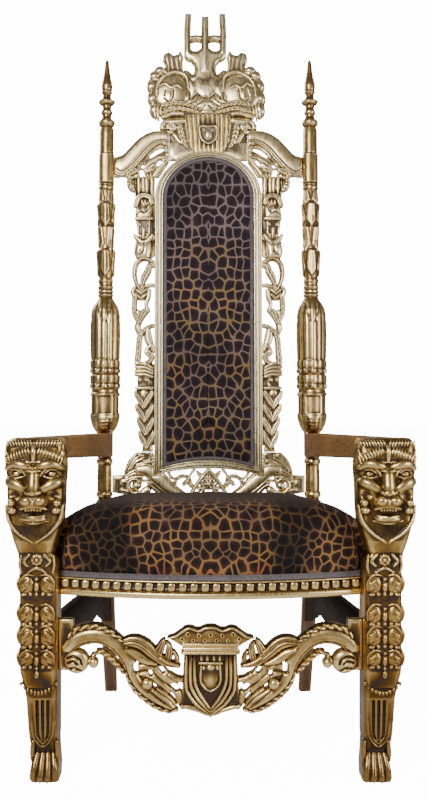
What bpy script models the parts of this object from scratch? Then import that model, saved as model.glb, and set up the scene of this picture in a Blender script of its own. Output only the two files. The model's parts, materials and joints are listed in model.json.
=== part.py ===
"""Carved and gilded throne: lion-mask front legs, tall back with turned posts,
crowned crest and padded seat.

Metres, +Z up, the throne faces -Y. The origin is on the floor, under the middle of the throne.
Pieces of the back are drawn upright round y = 0 and then leant back together.
"""

import math

import bmesh
import bpy
from mathutils import Matrix, Vector

for old in list(bpy.data.objects):
    bpy.data.objects.remove(old, do_unlink=True)

# Overall sizes and the gap between touching pieces
WIDTH = 0.865
DEPTH = 0.710
CREST_TOP_Z = 1.846
GAP = 0.0003

# Fineness of the carved pieces
GRAIN = 0.003
BOARD = 0.014

# Heights of the levels that pieces share
RAIL_BOTTOM_Z = 0.387
RAIL_TOP_Z = 0.4245
BRAID_HEIGHT = 0.0125
SEAT_CROWN_Z = 0.576
ARM_TOP_Z = 0.7225
ARM_HEIGHT_FRONT = 0.048
ARM_HEIGHT_REAR = 0.060
ARM_WIDTH = 0.055
STRETCHER_TOP_Z = 0.338
STRETCHER_LOW_Z = 0.200

# Front legs
HEAD_WIDTH = 0.125
HEAD_X = (WIDTH - HEAD_WIDTH) / 2
LEG_INNER_X = 0.322
NOSE_REACH = 0.019
LEG_FRONT_Y = -DEPTH / 2 + NOSE_REACH
LEG_DEPTH = 0.0835
LEG_BACK_Y = LEG_FRONT_Y + LEG_DEPTH
PAW_X = 0.3475

# Back posts and the lean of the back
POST_X = 0.2705
POST_HALF = 0.0205
POST_SIDES = 12
TENON_HALF = 0.0190
LEAN = math.tan(math.radians(3.5))
BACK_Y = 0.1166
FOOT_HALF = 0.0165
FOOT_Y = DEPTH / 2 - FOOT_HALF
KNEE_Z = 0.520
KICK_POWER = 1.15

# Back frame, its arch and the pad inside it
FRAME_HALF = 0.1415
FRAME_FACE = 0.0235
FRAME_TOP_FACE = 0.0155
FRAME_SPRING_Z = 1.345
FRAME_ARCH = 0.122
FRAME_BOTTOM_Z = 0.612
FRAME_BOTTOM_RISE = 0.018
ARCH_STEPS = 14
BOTTOM_STEPS = 6
BACK_BRAID_WIDTH = 0.008
BRAID_THICKNESS = 0.003
PAD_CROWN = 0.014

# Joints of the carved back
STRIP_X = 0.1765
STRIP_TOP_Z = 1.402
STRIP_BOTTOM_Z = 0.672
BRACKET_TOP_Z = 1.453
CREST_SIDE_X = 0.1045
CREST_SEAT_Z = 1.530
CREST_FOOT_Z = 1.445
CREST_SWAY = 0.0085
LOWER_RAIL_Z = 0.546


def material(name, colour, roughness, metallic):
    made = bpy.data.materials.new(name)
    made.use_nodes = True
    made.diffuse_color = (*colour, 1.0)
    shader = made.node_tree.nodes["Principled BSDF"]
    shader.inputs["Base Color"].default_value = (*colour, 1.0)
    shader.inputs["Roughness"].default_value = roughness
    shader.inputs["Metallic"].default_value = metallic
    return made


GILDING = material("antique_gilding", (0.60, 0.42, 0.17), 0.32, 1.0)
BRONZED = material("brown_gilding", (0.20, 0.11, 0.05), 0.45, 0.6)
LEOPARD = material("leopard_velvet", (0.085, 0.045, 0.032), 0.85, 0.0)
BRAID = material("grey_braid", (0.17, 0.15, 0.145), 0.8, 0.0)


def back_y(z):
    """Middle of the leaning back at this height."""
    return BACK_Y + z * LEAN


def post_y(z):
    """Middle of the back post: it leans with the back above the knee and kicks out below it."""
    share = max(0.0, KNEE_Z - z) / KNEE_Z
    return back_y(z) + (FOOT_Y - BACK_Y) * share ** KICK_POWER


def made_object(name, bm, finish):
    """Turn a bmesh into a named object with outward faces."""
    bmesh.ops.recalc_face_normals(bm, faces=bm.faces)
    mesh = bpy.data.meshes.new(name)
    bm.to_mesh(mesh)
    bm.free()
    obj = bpy.data.objects.new(name, mesh)
    bpy.context.scene.collection.objects.link(obj)
    mesh.materials.append(finish)
    return obj


def bake(obj, kind, **settings):
    """Apply one modifier to the object's mesh."""
    modifier = obj.modifiers.new(kind.title(), kind)
    for key, value in settings.items():
        setattr(modifier, key, value)
    evaluated = obj.evaluated_get(bpy.context.evaluated_depsgraph_get())
    result = bpy.data.meshes.new_from_object(evaluated)
    obj.modifiers.clear()
    obj.data = result


def mirrored(obj, name):
    """The same piece for the other side of the throne."""
    bm = bmesh.new()
    bm.from_mesh(obj.data)
    bmesh.ops.scale(bm, vec=(-1, 1, 1), verts=bm.verts)
    bmesh.ops.reverse_faces(bm, faces=bm.faces)
    mesh = bpy.data.meshes.new(name)
    bm.to_mesh(mesh)
    bm.free()
    twin = bpy.data.objects.new(name, mesh)
    bpy.context.scene.collection.objects.link(twin)
    mesh.materials.append(obj.data.materials[0])
    return twin


def shift(obj, moved):
    """Move every point of the piece by a rule."""
    for vertex in obj.data.vertices:
        vertex.co = moved(vertex.co)


def lean_back(obj):
    shift(obj, lambda co: Vector((co.x, co.y + back_y(co.z), co.z)))


def skin(bm, rings, closed=False):
    """Join rings of points into a surface, capped at both ends or closed on itself."""
    rows = [[bm.verts.new(point) for point in ring] for ring in rings]
    size = len(rows[0])
    pairs = list(zip(rows, rows[1:]))
    if closed:
        pairs.append((rows[-1], rows[0]))
    for low, high in pairs:
        for i in range(size):
            j = (i + 1) % size
            bm.faces.new((low[i], low[j], high[j], high[i]))
    if not closed:
        bm.faces.new(rows[0][::-1])
        bm.faces.new(rows[-1])


def block(bm, x0, x1, y0, y1, z0, z1):
    centre = Vector(((x0 + x1) / 2, (y0 + y1) / 2, (z0 + z1) / 2))
    size = Vector((abs(x1 - x0), abs(y1 - y0), abs(z1 - z0)))
    place = Matrix.Translation(centre) @ Matrix.Diagonal((*size, 1.0))
    bmesh.ops.create_cube(bm, size=1.0, matrix=place)


def ball(bm, centre, radii):
    """An egg-shaped lump."""
    place = Matrix.Translation(Vector(centre)) @ Matrix.Diagonal((*radii, 1.0))
    bmesh.ops.create_uvsphere(bm, u_segments=16, v_segments=10, radius=1.0, matrix=place)


def plate(bm, outline, front, back):
    """A board with an outline given as (x, z) points."""
    skin(bm, [[(x, y, z) for x, z in outline] for y in (front, back)])


def column(bm, rows, sides=16):
    """A post through rows of (z, x0, x1, y0, y1, squareness)."""
    rings = []
    for z, x0, x1, y0, y1, square in rows:
        ring = []
        for i in range(sides):
            angle = 2 * math.pi * (i + 0.5) / sides
            across, along = math.cos(angle), math.sin(angle)
            reach = (abs(across) ** square + abs(along) ** square) ** (-1 / square)
            ring.append(((x0 + x1) / 2 + reach * across * (x1 - x0) / 2,
                         (y0 + y1) / 2 + reach * along * (y1 - y0) / 2, z))
        rings.append(ring)
    skin(bm, rings)


def smooth_route(points, steps=4):
    """Points along a smooth curve through the given rows of numbers."""
    rows = [Vector(p) for p in points]
    padded = [2 * rows[0] - rows[1]] + rows + [2 * rows[-1] - rows[-2]]
    route = []
    for a, b, c, d in zip(padded, padded[1:], padded[2:], padded[3:]):
        for k in range(steps):
            t = k / steps
            route.append(0.5 * (2 * b + (c - a) * t + (2 * a - 5 * b + 4 * c - d) * t ** 2
                                + (3 * b - a - 3 * c + d) * t ** 3))
    route.append(rows[-1])
    return route


def stroke(bm, points, deep, y=0.0):
    """A carved member along rows of (x, z, half width), as deep as given either way from y."""
    route = smooth_route(points)
    rings = []
    for i, (x, z, half) in enumerate(route):
        before, after = route[max(i - 1, 0)], route[min(i + 1, len(route) - 1)]
        run = Vector((after.x - before.x, after.y - before.y)).normalized()
        ring = []
        for k in range(8):
            angle = 2 * math.pi * k / 8
            across = max(half, 0.0015) * math.cos(angle)
            ring.append((x - run.y * across, y + deep * math.sin(angle), z + run.x * across))
        rings.append(ring)
    skin(bm, rings)


class Drawing:
    """A carving drawn in parts of the piece's own width and height, from a corner on the throne."""

    def __init__(self, bm, corner, part, deep, y=0.0, side=1):
        self.bm, self.deep, self.y, self.side = bm, deep, y, side
        self.x, self.z = corner
        self.wide, self.tall = part

    def spot(self, x, z):
        return self.side * (self.x + x * self.wide), self.z + z * self.tall

    def member(self, rows, deep=1.0, forward=0.0):
        """A rounded member through rows of (x, z, half width); deep is its share of the board."""
        placed = [(*self.spot(x, z), half * self.wide) for x, z, half in rows]
        stroke(self.bm, placed, self.deep * deep, self.y - self.deep * forward)

    def egg(self, x, z, wide, tall, deep=1.0, forward=0.0):
        across, up = self.spot(x, z)
        radii = (wide * self.wide, self.deep * deep, tall * self.tall)
        ball(self.bm, (across, self.y - self.deep * forward, up), radii)

    def board(self, outline, front=1.0, back=1.0):
        """A flat board inside the outline; front and back are shares of the board's half depth."""
        placed = [self.spot(x, z) for x, z in outline]
        plate(self.bm, placed, self.y - self.deep * front, self.y + self.deep * back)

    def bar(self, x0, x1, z0, z1, front=1.0, back=1.0):
        self.board([(x0, z0), (x1, z0), (x1, z1), (x0, z1)], front, back)


def frame_outline(inset, top_inset=None):
    """Outline of the back frame, arched on top and below, moved inwards by the inset."""
    top_inset = inset if top_inset is None else top_inset
    half = FRAME_HALF - inset
    rise = FRAME_ARCH - top_inset
    bottom = FRAME_BOTTOM_Z + inset
    arch = [(half * math.cos(math.pi * i / ARCH_STEPS),
             FRAME_SPRING_Z + rise * math.sin(math.pi * i / ARCH_STEPS))
            for i in range(ARCH_STEPS + 1)]
    foot = []
    for i in range(BOTTOM_STEPS + 1):
        share = 2 * i / BOTTOM_STEPS - 1
        foot.append((half * share, bottom + FRAME_BOTTOM_RISE * (1 - share ** 2)))
    return arch + foot


def cutter(name, build):
    """A hidden shape that is taken away from a piece."""
    bm = bmesh.new()
    build(bm)
    obj = made_object(name, bm, GILDING)
    obj.hide_render = True
    obj.display_type = "WIRE"
    return obj


def carved(name, build, faces, cutters, finish=GILDING):
    """One carved piece: overlapping shapes fused, thinned, and cut back to its joints."""
    bm = bmesh.new()
    build(bm)
    obj = made_object(name, bm, finish)
    bake(obj, "REMESH", mode="VOXEL", voxel_size=GRAIN, adaptivity=0.0)
    share = faces / (2 * len(obj.data.polygons))
    bake(obj, "DECIMATE", decimate_type="COLLAPSE", ratio=share, use_collapse_triangulate=True)
    for cut in cutters:
        bake(obj, "BOOLEAN", operation="DIFFERENCE", object=cut, solver="EXACT")
    return obj


# Front legs: lion mask, mane, garland, fluted shank and paw
HEAD_FOOT_Z = 0.462
HEAD_Y = LEG_FRONT_Y + 0.004
LEG_OUTER_X = 0.408
SAW_ROOM = 0.05


def lion_leg(bm):
    """The right leg with its mask, from the top of the mane to the paw."""
    inner = LEG_INNER_X - 0.006
    outer = LEG_OUTER_X - 0.005
    front = LEG_FRONT_Y
    back = LEG_BACK_Y + 0.008
    shank_x = PAW_X + 0.038
    wide = HEAD_WIDTH / 125
    tall = (ARM_TOP_Z - HEAD_FOOT_Z) / 260
    leg = HEAD_FOOT_Z / 462
    rows = [
        (-0.006, PAW_X - 0.029, PAW_X + 0.029, front + 0.012, back - 0.012, 3.0),
        (30 * leg, PAW_X - 0.030, PAW_X + 0.031, front + 0.006, back - 0.012, 3.0),
        (62 * leg, PAW_X - 0.028, PAW_X + 0.029, front + 0.021, back - 0.006, 3.0),
        (85 * leg, inner, PAW_X + 0.033, front + 0.018, back, 4.0),
        (176 * leg, inner, shank_x + 0.003, front + 0.010, back, 4.0),
        (183 * leg, inner, shank_x + 0.007, front + 0.004, back, 4.0),
        (192 * leg, inner, shank_x + 0.005, front + 0.006, back, 4.0),
        (232 * leg, inner, outer - 0.001, front + 0.008, back, 3.5),
        (450 * leg, inner, outer, front + 0.010, back, 3.5),
    ]
    for part, half, recess, square in ((16, 36, 10, 3.5), (43, 46.5, 8, 3.5), (78, 59, 10, 4.0),
                                       (118, 61.5, 12, 4.0),
                                       (178, 62.5, 12, 4.5), (238, 61, 8, 4.5), (264, 56, 12, 4.0)):
        level, reach = HEAD_FOOT_Z + part * tall, half * wide
        rows.append((level, HEAD_X - reach, HEAD_X + reach, HEAD_Y + recess * wide, back, square))
    column(bm, rows)
    for turn in (-1, 1):
        lion_face(Drawing(bm, (HEAD_X, HEAD_FOOT_Z), (wide, tall), 10 * wide, HEAD_Y), turn)
    garland(bm, leg)
    shank = Drawing(bm, (PAW_X + 0.004, 0.0), (leg, leg), 0.006, front + 0.014)
    for turn in (-1, 1):
        shank.member([(turn * 22, 172, 4), (turn * 21, 110, 4), (turn * 14, 82, 4), (0, 74, 4)])
    for toe in (-22.5, -7.5, 7.5, 22.5):
        ball(bm, (PAW_X + toe * leg, front + 0.016, 16 * leg), (8.5 * leg, 0.017, 16 * leg))


def lion_face(face, turn):
    """Half of the mask: muzzle, nose, cheek, sunken eye, brow,
    forelock strands and the fall of the mane."""
    face.egg(0, 125, 35, 28, 2.4, -0.8)
    face.egg(0, 142, 12, 9, 1.3, 1.0)
    face.egg(0, 94, 26, 11, 1.8, -0.6)
    face.member([(0, 138, 11), (0, 178, 9), (0, 206, 12)], 1.3, -0.6)
    face.egg(0, 236, 8, 22, 0.9, -0.8)
    face.egg(0, 3, 14, 13, 1.0, -0.8)
    face.egg(turn * 15, 127, 15, 13, 1.5, 0.8)
    face.egg(turn * 41, 166, 21, 13, 1.6, -1.2)
    face.egg(turn * 46, 111, 16, 15, 1.6, -1.6)
    face.egg(turn * 34, 184, 9, 7, 1.0, -0.9)
    face.member([(turn * 6, 200, 6), (turn * 28, 209, 8), (turn * 56, 200, 6)], 1.0, -0.6)
    for k in range(4):
        across = 10 + 13 * k
        tip = min(across + 10, 57)
        face.member([(turn * across, 258, 5), (turn * (across + 4), 233, 6), (turn * tip, 216, 3)], 0.8,
                    -1.2)
    face.member([(turn * 53, 108, 8), (turn * 40, 73, 10), (turn * 2, 38, 6)], 1.0, -1.4)


def garland(bm, leg):
    """Tiers of leaves and shields down the front and the outer side of the post."""
    middle = (LEG_INNER_X + LEG_OUTER_X) / 2
    tiers, leaves, lift = 6, 3, 10
    for row in range(tiers):
        level = (432 - 39.5 * row) * leg
        for k in range(leaves):
            across = (k - 1) * 25 * leg
            rise = lift * leg if across else 0.0
            ball(bm, (middle + across, LEG_FRONT_Y + 0.010, level + rise), (12.5 * leg, 0.010, 19 * leg))
        for along in (0.030, 0.056):
            ball(bm, (LEG_OUTER_X - 0.007, LEG_FRONT_Y + along, level + 8 * leg), (0.008, 0.012, 19 * leg))


def leg_joints(bm):
    near, far = HEAD_X - HEAD_WIDTH, HEAD_X + HEAD_WIDTH
    block(bm, near, far, LEG_BACK_Y, LEG_BACK_Y + SAW_ROOM, -SAW_ROOM, ARM_TOP_Z + SAW_ROOM)


def leg_inner_joint(bm):
    front, back = LEG_FRONT_Y - SAW_ROOM, LEG_BACK_Y + SAW_ROOM / 2
    block(bm, LEG_INNER_X - SAW_ROOM, LEG_INNER_X, front, back, -SAW_ROOM / 2, HEAD_FOOT_Z)


def leg_ends(bm):
    near, far = HEAD_X - 1.2 * HEAD_WIDTH, HEAD_X + 1.2 * HEAD_WIDTH
    front, back = LEG_FRONT_Y - 2 * SAW_ROOM, LEG_BACK_Y + 2 * SAW_ROOM
    block(bm, near, far, front, back, -SAW_ROOM, 0.0)
    block(bm, near, far, front, back, ARM_TOP_Z, ARM_TOP_Z + SAW_ROOM)


leg_cuts = [cutter("cut_leg_back", leg_joints), cutter("cut_leg_inner", leg_inner_joint),
            cutter("cut_leg_ends", leg_ends)]
front_leg_right = carved("front_leg_right", lion_leg, 880, leg_cuts)
mirrored(front_leg_right, "front_leg_left")

# Plain arms, wider apart at the lions than at the posts
def arm(name, side):
    """A straight arm that runs inwards from the back of the mane to the front of the post."""
    front_y = LEG_BACK_Y + GAP
    front_inner, rear_inner = HEAD_X - ARM_WIDTH / 2, POST_X - POST_HALF
    ends = []
    for inner, height, lean in ((front_inner, ARM_HEIGHT_FRONT, False),
                                (rear_inner, ARM_HEIGHT_REAR, True)):
        corners = []
        for x, z in ((inner, ARM_TOP_Z - height), (inner + ARM_WIDTH, ARM_TOP_Z - height),
                     (inner + ARM_WIDTH, ARM_TOP_Z), (inner, ARM_TOP_Z)):
            corners.append((side * x, back_y(z) - POST_HALF - GAP if lean else front_y, z))
        ends.append(corners)
    bm = bmesh.new()
    skin(bm, ends)
    obj = made_object(name, bm, BRONZED)
    edge = obj.modifiers.new("Softened edges", "BEVEL")
    edge.width = 0.0025
    edge.segments = 1


arm("arm_right", 1)
arm("arm_left", -1)

# Back posts: square kicked leg, turned shaft, bulb, leaf-wrapped shaft, block, rings and finial
BULB_HALF = 0.040
SEAT_BLOCK_Z = 0.548
NECK_Z = 1.0965
BLOCK_FOOT_Z = 1.394
BLOCK_TOP_Z = 1.475
FINIAL_TOP_Z = 1.717
REED = 0.0016
FINE_REED = 0.0010
LEG_AT_STRETCHER = 0.0195
SQUARE = 9.0
ROUND = 2.0


def turned(low, high, full, rows):
    """A turned length from rows of (share of its height, share of the full half width, reed depth)."""
    return [(low + (high - low) * up, full * half, ROUND, reed) for up, half, reed in rows]


def squared(*rows):
    return [(z, half, SQUARE, 0) for z, half in rows]


def post_rows():
    """Rows of (height, half width, squareness, reed depth) up the right post."""
    arm_low = ARM_TOP_Z - ARM_HEIGHT_REAR
    rows = squared((0.0, FOOT_HALF), (STRETCHER_LOW_Z, 0.0185), (STRETCHER_TOP_Z, LEG_AT_STRETCHER),
                   (RAIL_BOTTOM_Z, POST_HALF), (RAIL_TOP_Z, POST_HALF), (KNEE_Z, POST_HALF),
                   (SEAT_BLOCK_Z, POST_HALF))
    rows += turned(SEAT_BLOCK_Z, arm_low, TENON_HALF, [
        (0.05, 0.87, 0), (0.13, 1.13, 0), (0.25, 1.0, 0), (0.80, 0.95, 0), (0.90, 1.13, 0), (0.96, 0.92,
                                                                                             0)])
    rows += squared((arm_low, POST_HALF), (ARM_TOP_Z, POST_HALF))
    rows += turned(ARM_TOP_Z, NECK_Z, BULB_HALF, [
        (0.010, 0.59, 0), (0.068, 0.89, 0), (0.124, 1.0, 0), (0.290, 0.975, 0), (0.309, 0.90, 0), (0.336,
                                                                                                   1.0, 0),
        (0.402, 0.96, 0), (0.418, 0.90, 0), (0.445, 1.0, 0), (0.515, 0.94, REED), (0.662, 1.0, REED),
        (0.822, 0.98, REED), (0.897, 0.825, REED), (0.941, 0.50, 0), (0.973, 0.55, 0), (1.0, 0.45, 0)])
    rows += turned(NECK_Z, BLOCK_FOOT_Z, POST_HALF, [
        (0.030, 1.07, 0), (0.213, 0.98, FINE_REED), (0.365, 1.10, FINE_REED), (0.432, 0.93, 0),
        (0.566, 1.10, FINE_REED), (0.650, 0.95, 0), (0.785, 1.05, FINE_REED), (0.859, 0.90, 0), (0.976,
                                                                                                 1.05, 0)])
    rows += squared((BLOCK_FOOT_Z, POST_HALF), (BLOCK_TOP_Z, POST_HALF))
    rows += turned(BLOCK_TOP_Z, FINIAL_TOP_Z, POST_HALF, [
        (0.020, 0.85, 0), (0.248, 0.90, 0), (0.302, 1.05, 0), (0.347, 0.63, 0), (0.393, 0.59, 0), (0.430,
                                                                                                   0.76, 0),
        (0.475, 0.55, 0), (0.545, 1.10, 0), (0.600, 0.56, 0), (0.719, 0.70, 0), (0.798, 0.56, 0), (0.868,
                                                                                                   0.37, 0),
        (1.0, 0.22, 0)])
    return rows


def back_post(name, side):
    rings = []
    for z, half, square, reed in post_rows():
        ring = []
        for i in range(POST_SIDES):
            angle = 2 * math.pi * (i + 0.5) / POST_SIDES
            across, along = math.cos(angle), math.sin(angle)
            reach = half * (abs(across) ** square + abs(along) ** square) ** (-1 / square)
            reach += reed * (-1) ** i
            limit = half / max(abs(across), abs(along))
            reach = min(reach, limit) if square > ROUND else reach
            ring.append((side * POST_X + side * reach * across, post_y(z) + reach * along, z))
        rings.append(ring)
    bm = bmesh.new()
    skin(bm, rings)
    made_object(name, bm, GILDING)


back_post("back_post_right", 1)
back_post("back_post_left", -1)

# Back frame: a reeded moulding with a ridge, a hollow and an inner bead
FRAME_REAR_Y = 0.014
MOULDING = [(0.0, -0.006), (0.16, -0.014), (0.34, -0.010), (0.56, -0.015), (0.80, -0.011), (1.0, -0.008)]


def back_frame():
    share_y = [(0.0, FRAME_REAR_Y)] + MOULDING + [(1.0, FRAME_REAR_Y)]
    rings = []
    for share, y in share_y:
        rings.append([(x, y, z) for x, z in frame_outline(share * FRAME_FACE, share * FRAME_TOP_FACE)])
    bm = bmesh.new()
    skin(bm, rings, closed=True)
    lean_back(made_object("back_frame", bm, GILDING))


def frame_room(bm):
    """The room that the frame takes in the carved board, with its clearance."""
    outline = frame_outline(-GAP)
    plate(bm, outline, -0.06, 0.06)


back_frame()

# Padded back panel: flat border under the braid, then a soft crown
PAD_BORDER_Y = -0.004
PAD_REAR_Y = 0.010


def pad_outline(inset):
    return frame_outline(FRAME_FACE + GAP + inset, FRAME_TOP_FACE + GAP + inset)


def back_pad():
    """The padded panel with its crown drawn as shrinking rings."""
    steps = [(0.0, PAD_REAR_Y), (0.0, PAD_BORDER_Y), (BACK_BRAID_WIDTH + 0.002, PAD_BORDER_Y)]
    for inset, share in ((0.020, 0.45), (0.040, 0.80), (0.070, 1.0)):
        steps.append((inset, PAD_BORDER_Y - PAD_CROWN * share))
    rings = [[(x, y, z) for x, z in pad_outline(inset)] for inset, y in steps]
    bm = bmesh.new()
    skin(bm, rings)
    lean_back(made_object("back_pad", bm, LEOPARD))


def back_braid():
    """Flat braid that covers the nailed border of the panel."""
    near = PAD_BORDER_Y - GAP
    section = [(0.0, near), (0.0, near - BRAID_THICKNESS),
               (BACK_BRAID_WIDTH, near - BRAID_THICKNESS), (BACK_BRAID_WIDTH, near)]
    rings = [[(x, y, z) for x, z in pad_outline(inset)] for inset, y in section]
    bm = bmesh.new()
    skin(bm, rings, closed=True)
    lean_back(made_object("back_braid", bm, BRAID))


back_pad()
back_braid()

frame_cut = cutter("cut_frame", frame_room)

# Swept brackets from the posts to the crest
BLOCK_X = POST_X - POST_HALF - GAP
BOARD_ROOM = 0.06


def swept_bracket(bm):
    """Right bracket: a board at the post, the rising band, its volute and leaves down to the capital."""
    wide, tall = (BLOCK_X - CREST_SIDE_X) / 145, (CREST_SEAT_Z - STRIP_TOP_Z) / 128
    draw = Drawing(bm, (CREST_SIDE_X, STRIP_TOP_Z), (wide, tall), BOARD)
    draw.board([(117.5, 53), (151.5, 51), (151.5, -6), (131.5, -6), (109.5, 6)])
    draw.member([(125.5, 28, 27), (109.5, 38, 23.5), (87.5, 62, 22.5), (64.5, 87, 21.5), (39.5, 102, 19.5),
                 (13.5, 106, 16.5), (-6.5, 100, 15), (-16.5, 84, 13), (-11.5, 66, 11), (3.5, 57, 8)], 1.2)
    draw.egg(5.5, 76, 10, 11, 1.1)
    draw.member([(-6.5, 50, 7), (19.5, 45, 13), (45.5, 32, 15), (63.5, 18, 8)])
    draw.member([(-12.5, 56, 7), (11.5, 38, 7), (29.5, 16, 7), (42.5, -6, 8)])
    draw.member([(61.5, 34, 8), (75.5, 18, 8), (80.5, -4, 8)])
    draw.member([(83.5, 18, 8), (101.5, 10, 9), (106.5, -6, 8)])
    draw.bar(33.5, 100.5, -4, 10)


def bracket_limits(bm):
    block(bm, 0.0, CREST_SIDE_X + GAP, -BOARD_ROOM, BOARD_ROOM, STRIP_TOP_Z - 0.01, CREST_SEAT_Z + 0.07)


def bracket_ends(bm):
    block(bm, BLOCK_X, BLOCK_X + 0.05, -BOARD_ROOM, BOARD_ROOM, STRIP_TOP_Z - 0.1, BRACKET_TOP_Z + 0.05)


def strip_room(bm):
    room = BOARD_ROOM + 0.001
    block(bm, FRAME_HALF - 0.021, BLOCK_X + 0.02, -room, room, STRIP_TOP_Z - 0.1, STRIP_TOP_Z)


def crest_room(bm):
    room = BOARD_ROOM + 0.002
    block(bm, 0.0, 2 * CREST_SIDE_X, -room, room, CREST_SEAT_Z - GAP, CREST_SEAT_Z + 0.1)


bracket_cuts = [frame_cut, cutter("cut_bracket_crest", bracket_limits),
                cutter("cut_bracket_post", bracket_ends),
                cutter("cut_bracket_strip", strip_room), cutter("cut_bracket_top", crest_room)]
top_bracket_right = carved("top_bracket_right", swept_bracket, 220, bracket_cuts)
lean_back(top_bracket_right)
mirrored(top_bracket_right, "top_bracket_left")


# Crest: three-pronged crown over two masks, a fluted shield and side paws
CREST_BOARD = 0.015


def both_ways(half):
    """A whole outline from its right half, which starts and ends on the middle line."""
    return half + [(-x, z) for x, z in half[::-1] if x]


def crest(bm):
    wide, tall = CREST_SIDE_X / 104.5, (CREST_TOP_Z - CREST_FOOT_Z) / 401
    for side in (-1, 1):
        draw = Drawing(bm, (0.0, CREST_FOOT_Z), (wide, tall), CREST_BOARD, 0.0, side)
        crest_half(draw)
    draw.member([(0, 217, 26), (0, 247, 22), (0, 259, 26), (0, 275, 38), (0, 290, 44)], 0.7)
    draw.member([(0, 290, 10), (0, 331, 9.5), (0, 390, 9.5)], 0.8)
    draw.board(both_ways([(0, 227), (30, 232), (48, 247), (80, 237), (112, 186), (100, 118), (0, 118)]),
               0.6)
    draw.board(both_ways([(0, 212), (15, 219), (33, 206), (46, 219), (46, 186), (40, 168), (24, 180),
                          (0, 168)]), 1.35)
    draw.board(both_ways([(0, 164), (22, 175), (34, 166), (52, 186), (62, 168), (60, 150), (44, 138),
                          (0, 132)]), 1.2)
    draw.board(both_ways([(0, 124), (60, 120), (60, 94), (54, 50), (40, 23), (26, 0), (0, 0)]), 0.9)
    draw.egg(0, 68, 17, 22, 0.5, 0.9)


def crest_half(draw):
    """The right half of the crest, outside its middle boards."""
    draw.member([(45, 283, 9), (47.5, 329, 9), (46, 401, 8.5)], 0.75)
    draw.member([(0, 332, 8.5), (20, 333, 8), (46, 330, 8.5)], 0.65)
    draw.member([(0, 286, 13), (30, 282, 11), (46, 286, 12)], 0.7)
    draw.board([(58, 219), (57, 282), (66, 300), (76, 287), (86, 286), (97, 295), (111, 289), (114, 274),
                (107, 257),
                (112, 219)], 0.8, 0.8)
    draw.egg(93, 182, 50, 52, 1.25)
    ruff = ((120, 243, 17, 14), (134, 229, 16, 16), (143, 202, 15, 21), (144, 168, 15, 23),
            (140, 138, 15, 23))
    for x, z, wide, tall in ruff:
        draw.egg(x, z, wide, tall, 0.9)
    draw.member([(46, 191, 5), (52, 223, 6), (80, 235, 7), (110, 225, 6), (129, 195, 5)], 0.5, 1.1)
    draw.member([(66, 192, 5), (90, 197, 6), (122, 195, 5)], 0.5, 1.2)
    draw.egg(98.5, 175, 11, 15, 0.5, 1.2)
    draw.member([(30, 138, 6), (55, 149, 8), (85, 152, 9), (120, 145, 8)], 0.6, 0.8)
    draw.member([(20, 127, 6), (50, 133, 8), (82, 137, 8), (126, 125, 9)], 0.8, 0.3)
    flutes = 3
    for k in range(flutes):
        x = 10 + 20 * k
        draw.member([(x, 120, 6), (x * 0.92, 70, 6), (x * 0.62, 23, 5)], 0.4, 0.8)
    draw.member([(66, 106, 9), (88, 103, 10), (112, 101, 9), (121, 90, 9), (114, 75, 8), (98, 75, 7)])
    draw.egg(98, 89, 17, 14, 1.2)
    draw.member([(76, 100, 12), (72, 70, 12), (62, 43, 9)])
    draw.bar(30, 108, -5, 47, 0.8)


def crest_feet(bm):
    for side in (-1, 1):
        near, far = side * CREST_SIDE_X, side * POST_X
        block(bm, near, far, -BOARD_ROOM, BOARD_ROOM, STRIP_TOP_Z - 0.05, CREST_SEAT_Z)


def swayed(co):
    """The crown stands a little to the left of the shield."""
    share = min(max((co.z - CREST_SEAT_Z) / (CREST_TOP_Z - CREST_SEAT_Z) * 2, 0.0), 1.0)
    return Vector((co.x - CREST_SWAY * share, co.y, co.z))


crest_cuts = [frame_cut, cutter("cut_crest", crest_feet)]
crest_board = carved("crest", crest, 900, crest_cuts)
shift(crest_board, swayed)
lean_back(crest_board)


# Pierced strips of scrolls, leaves and a small shield
CHEVRONS = 4
CHEVRON_PITCH = 35


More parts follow.
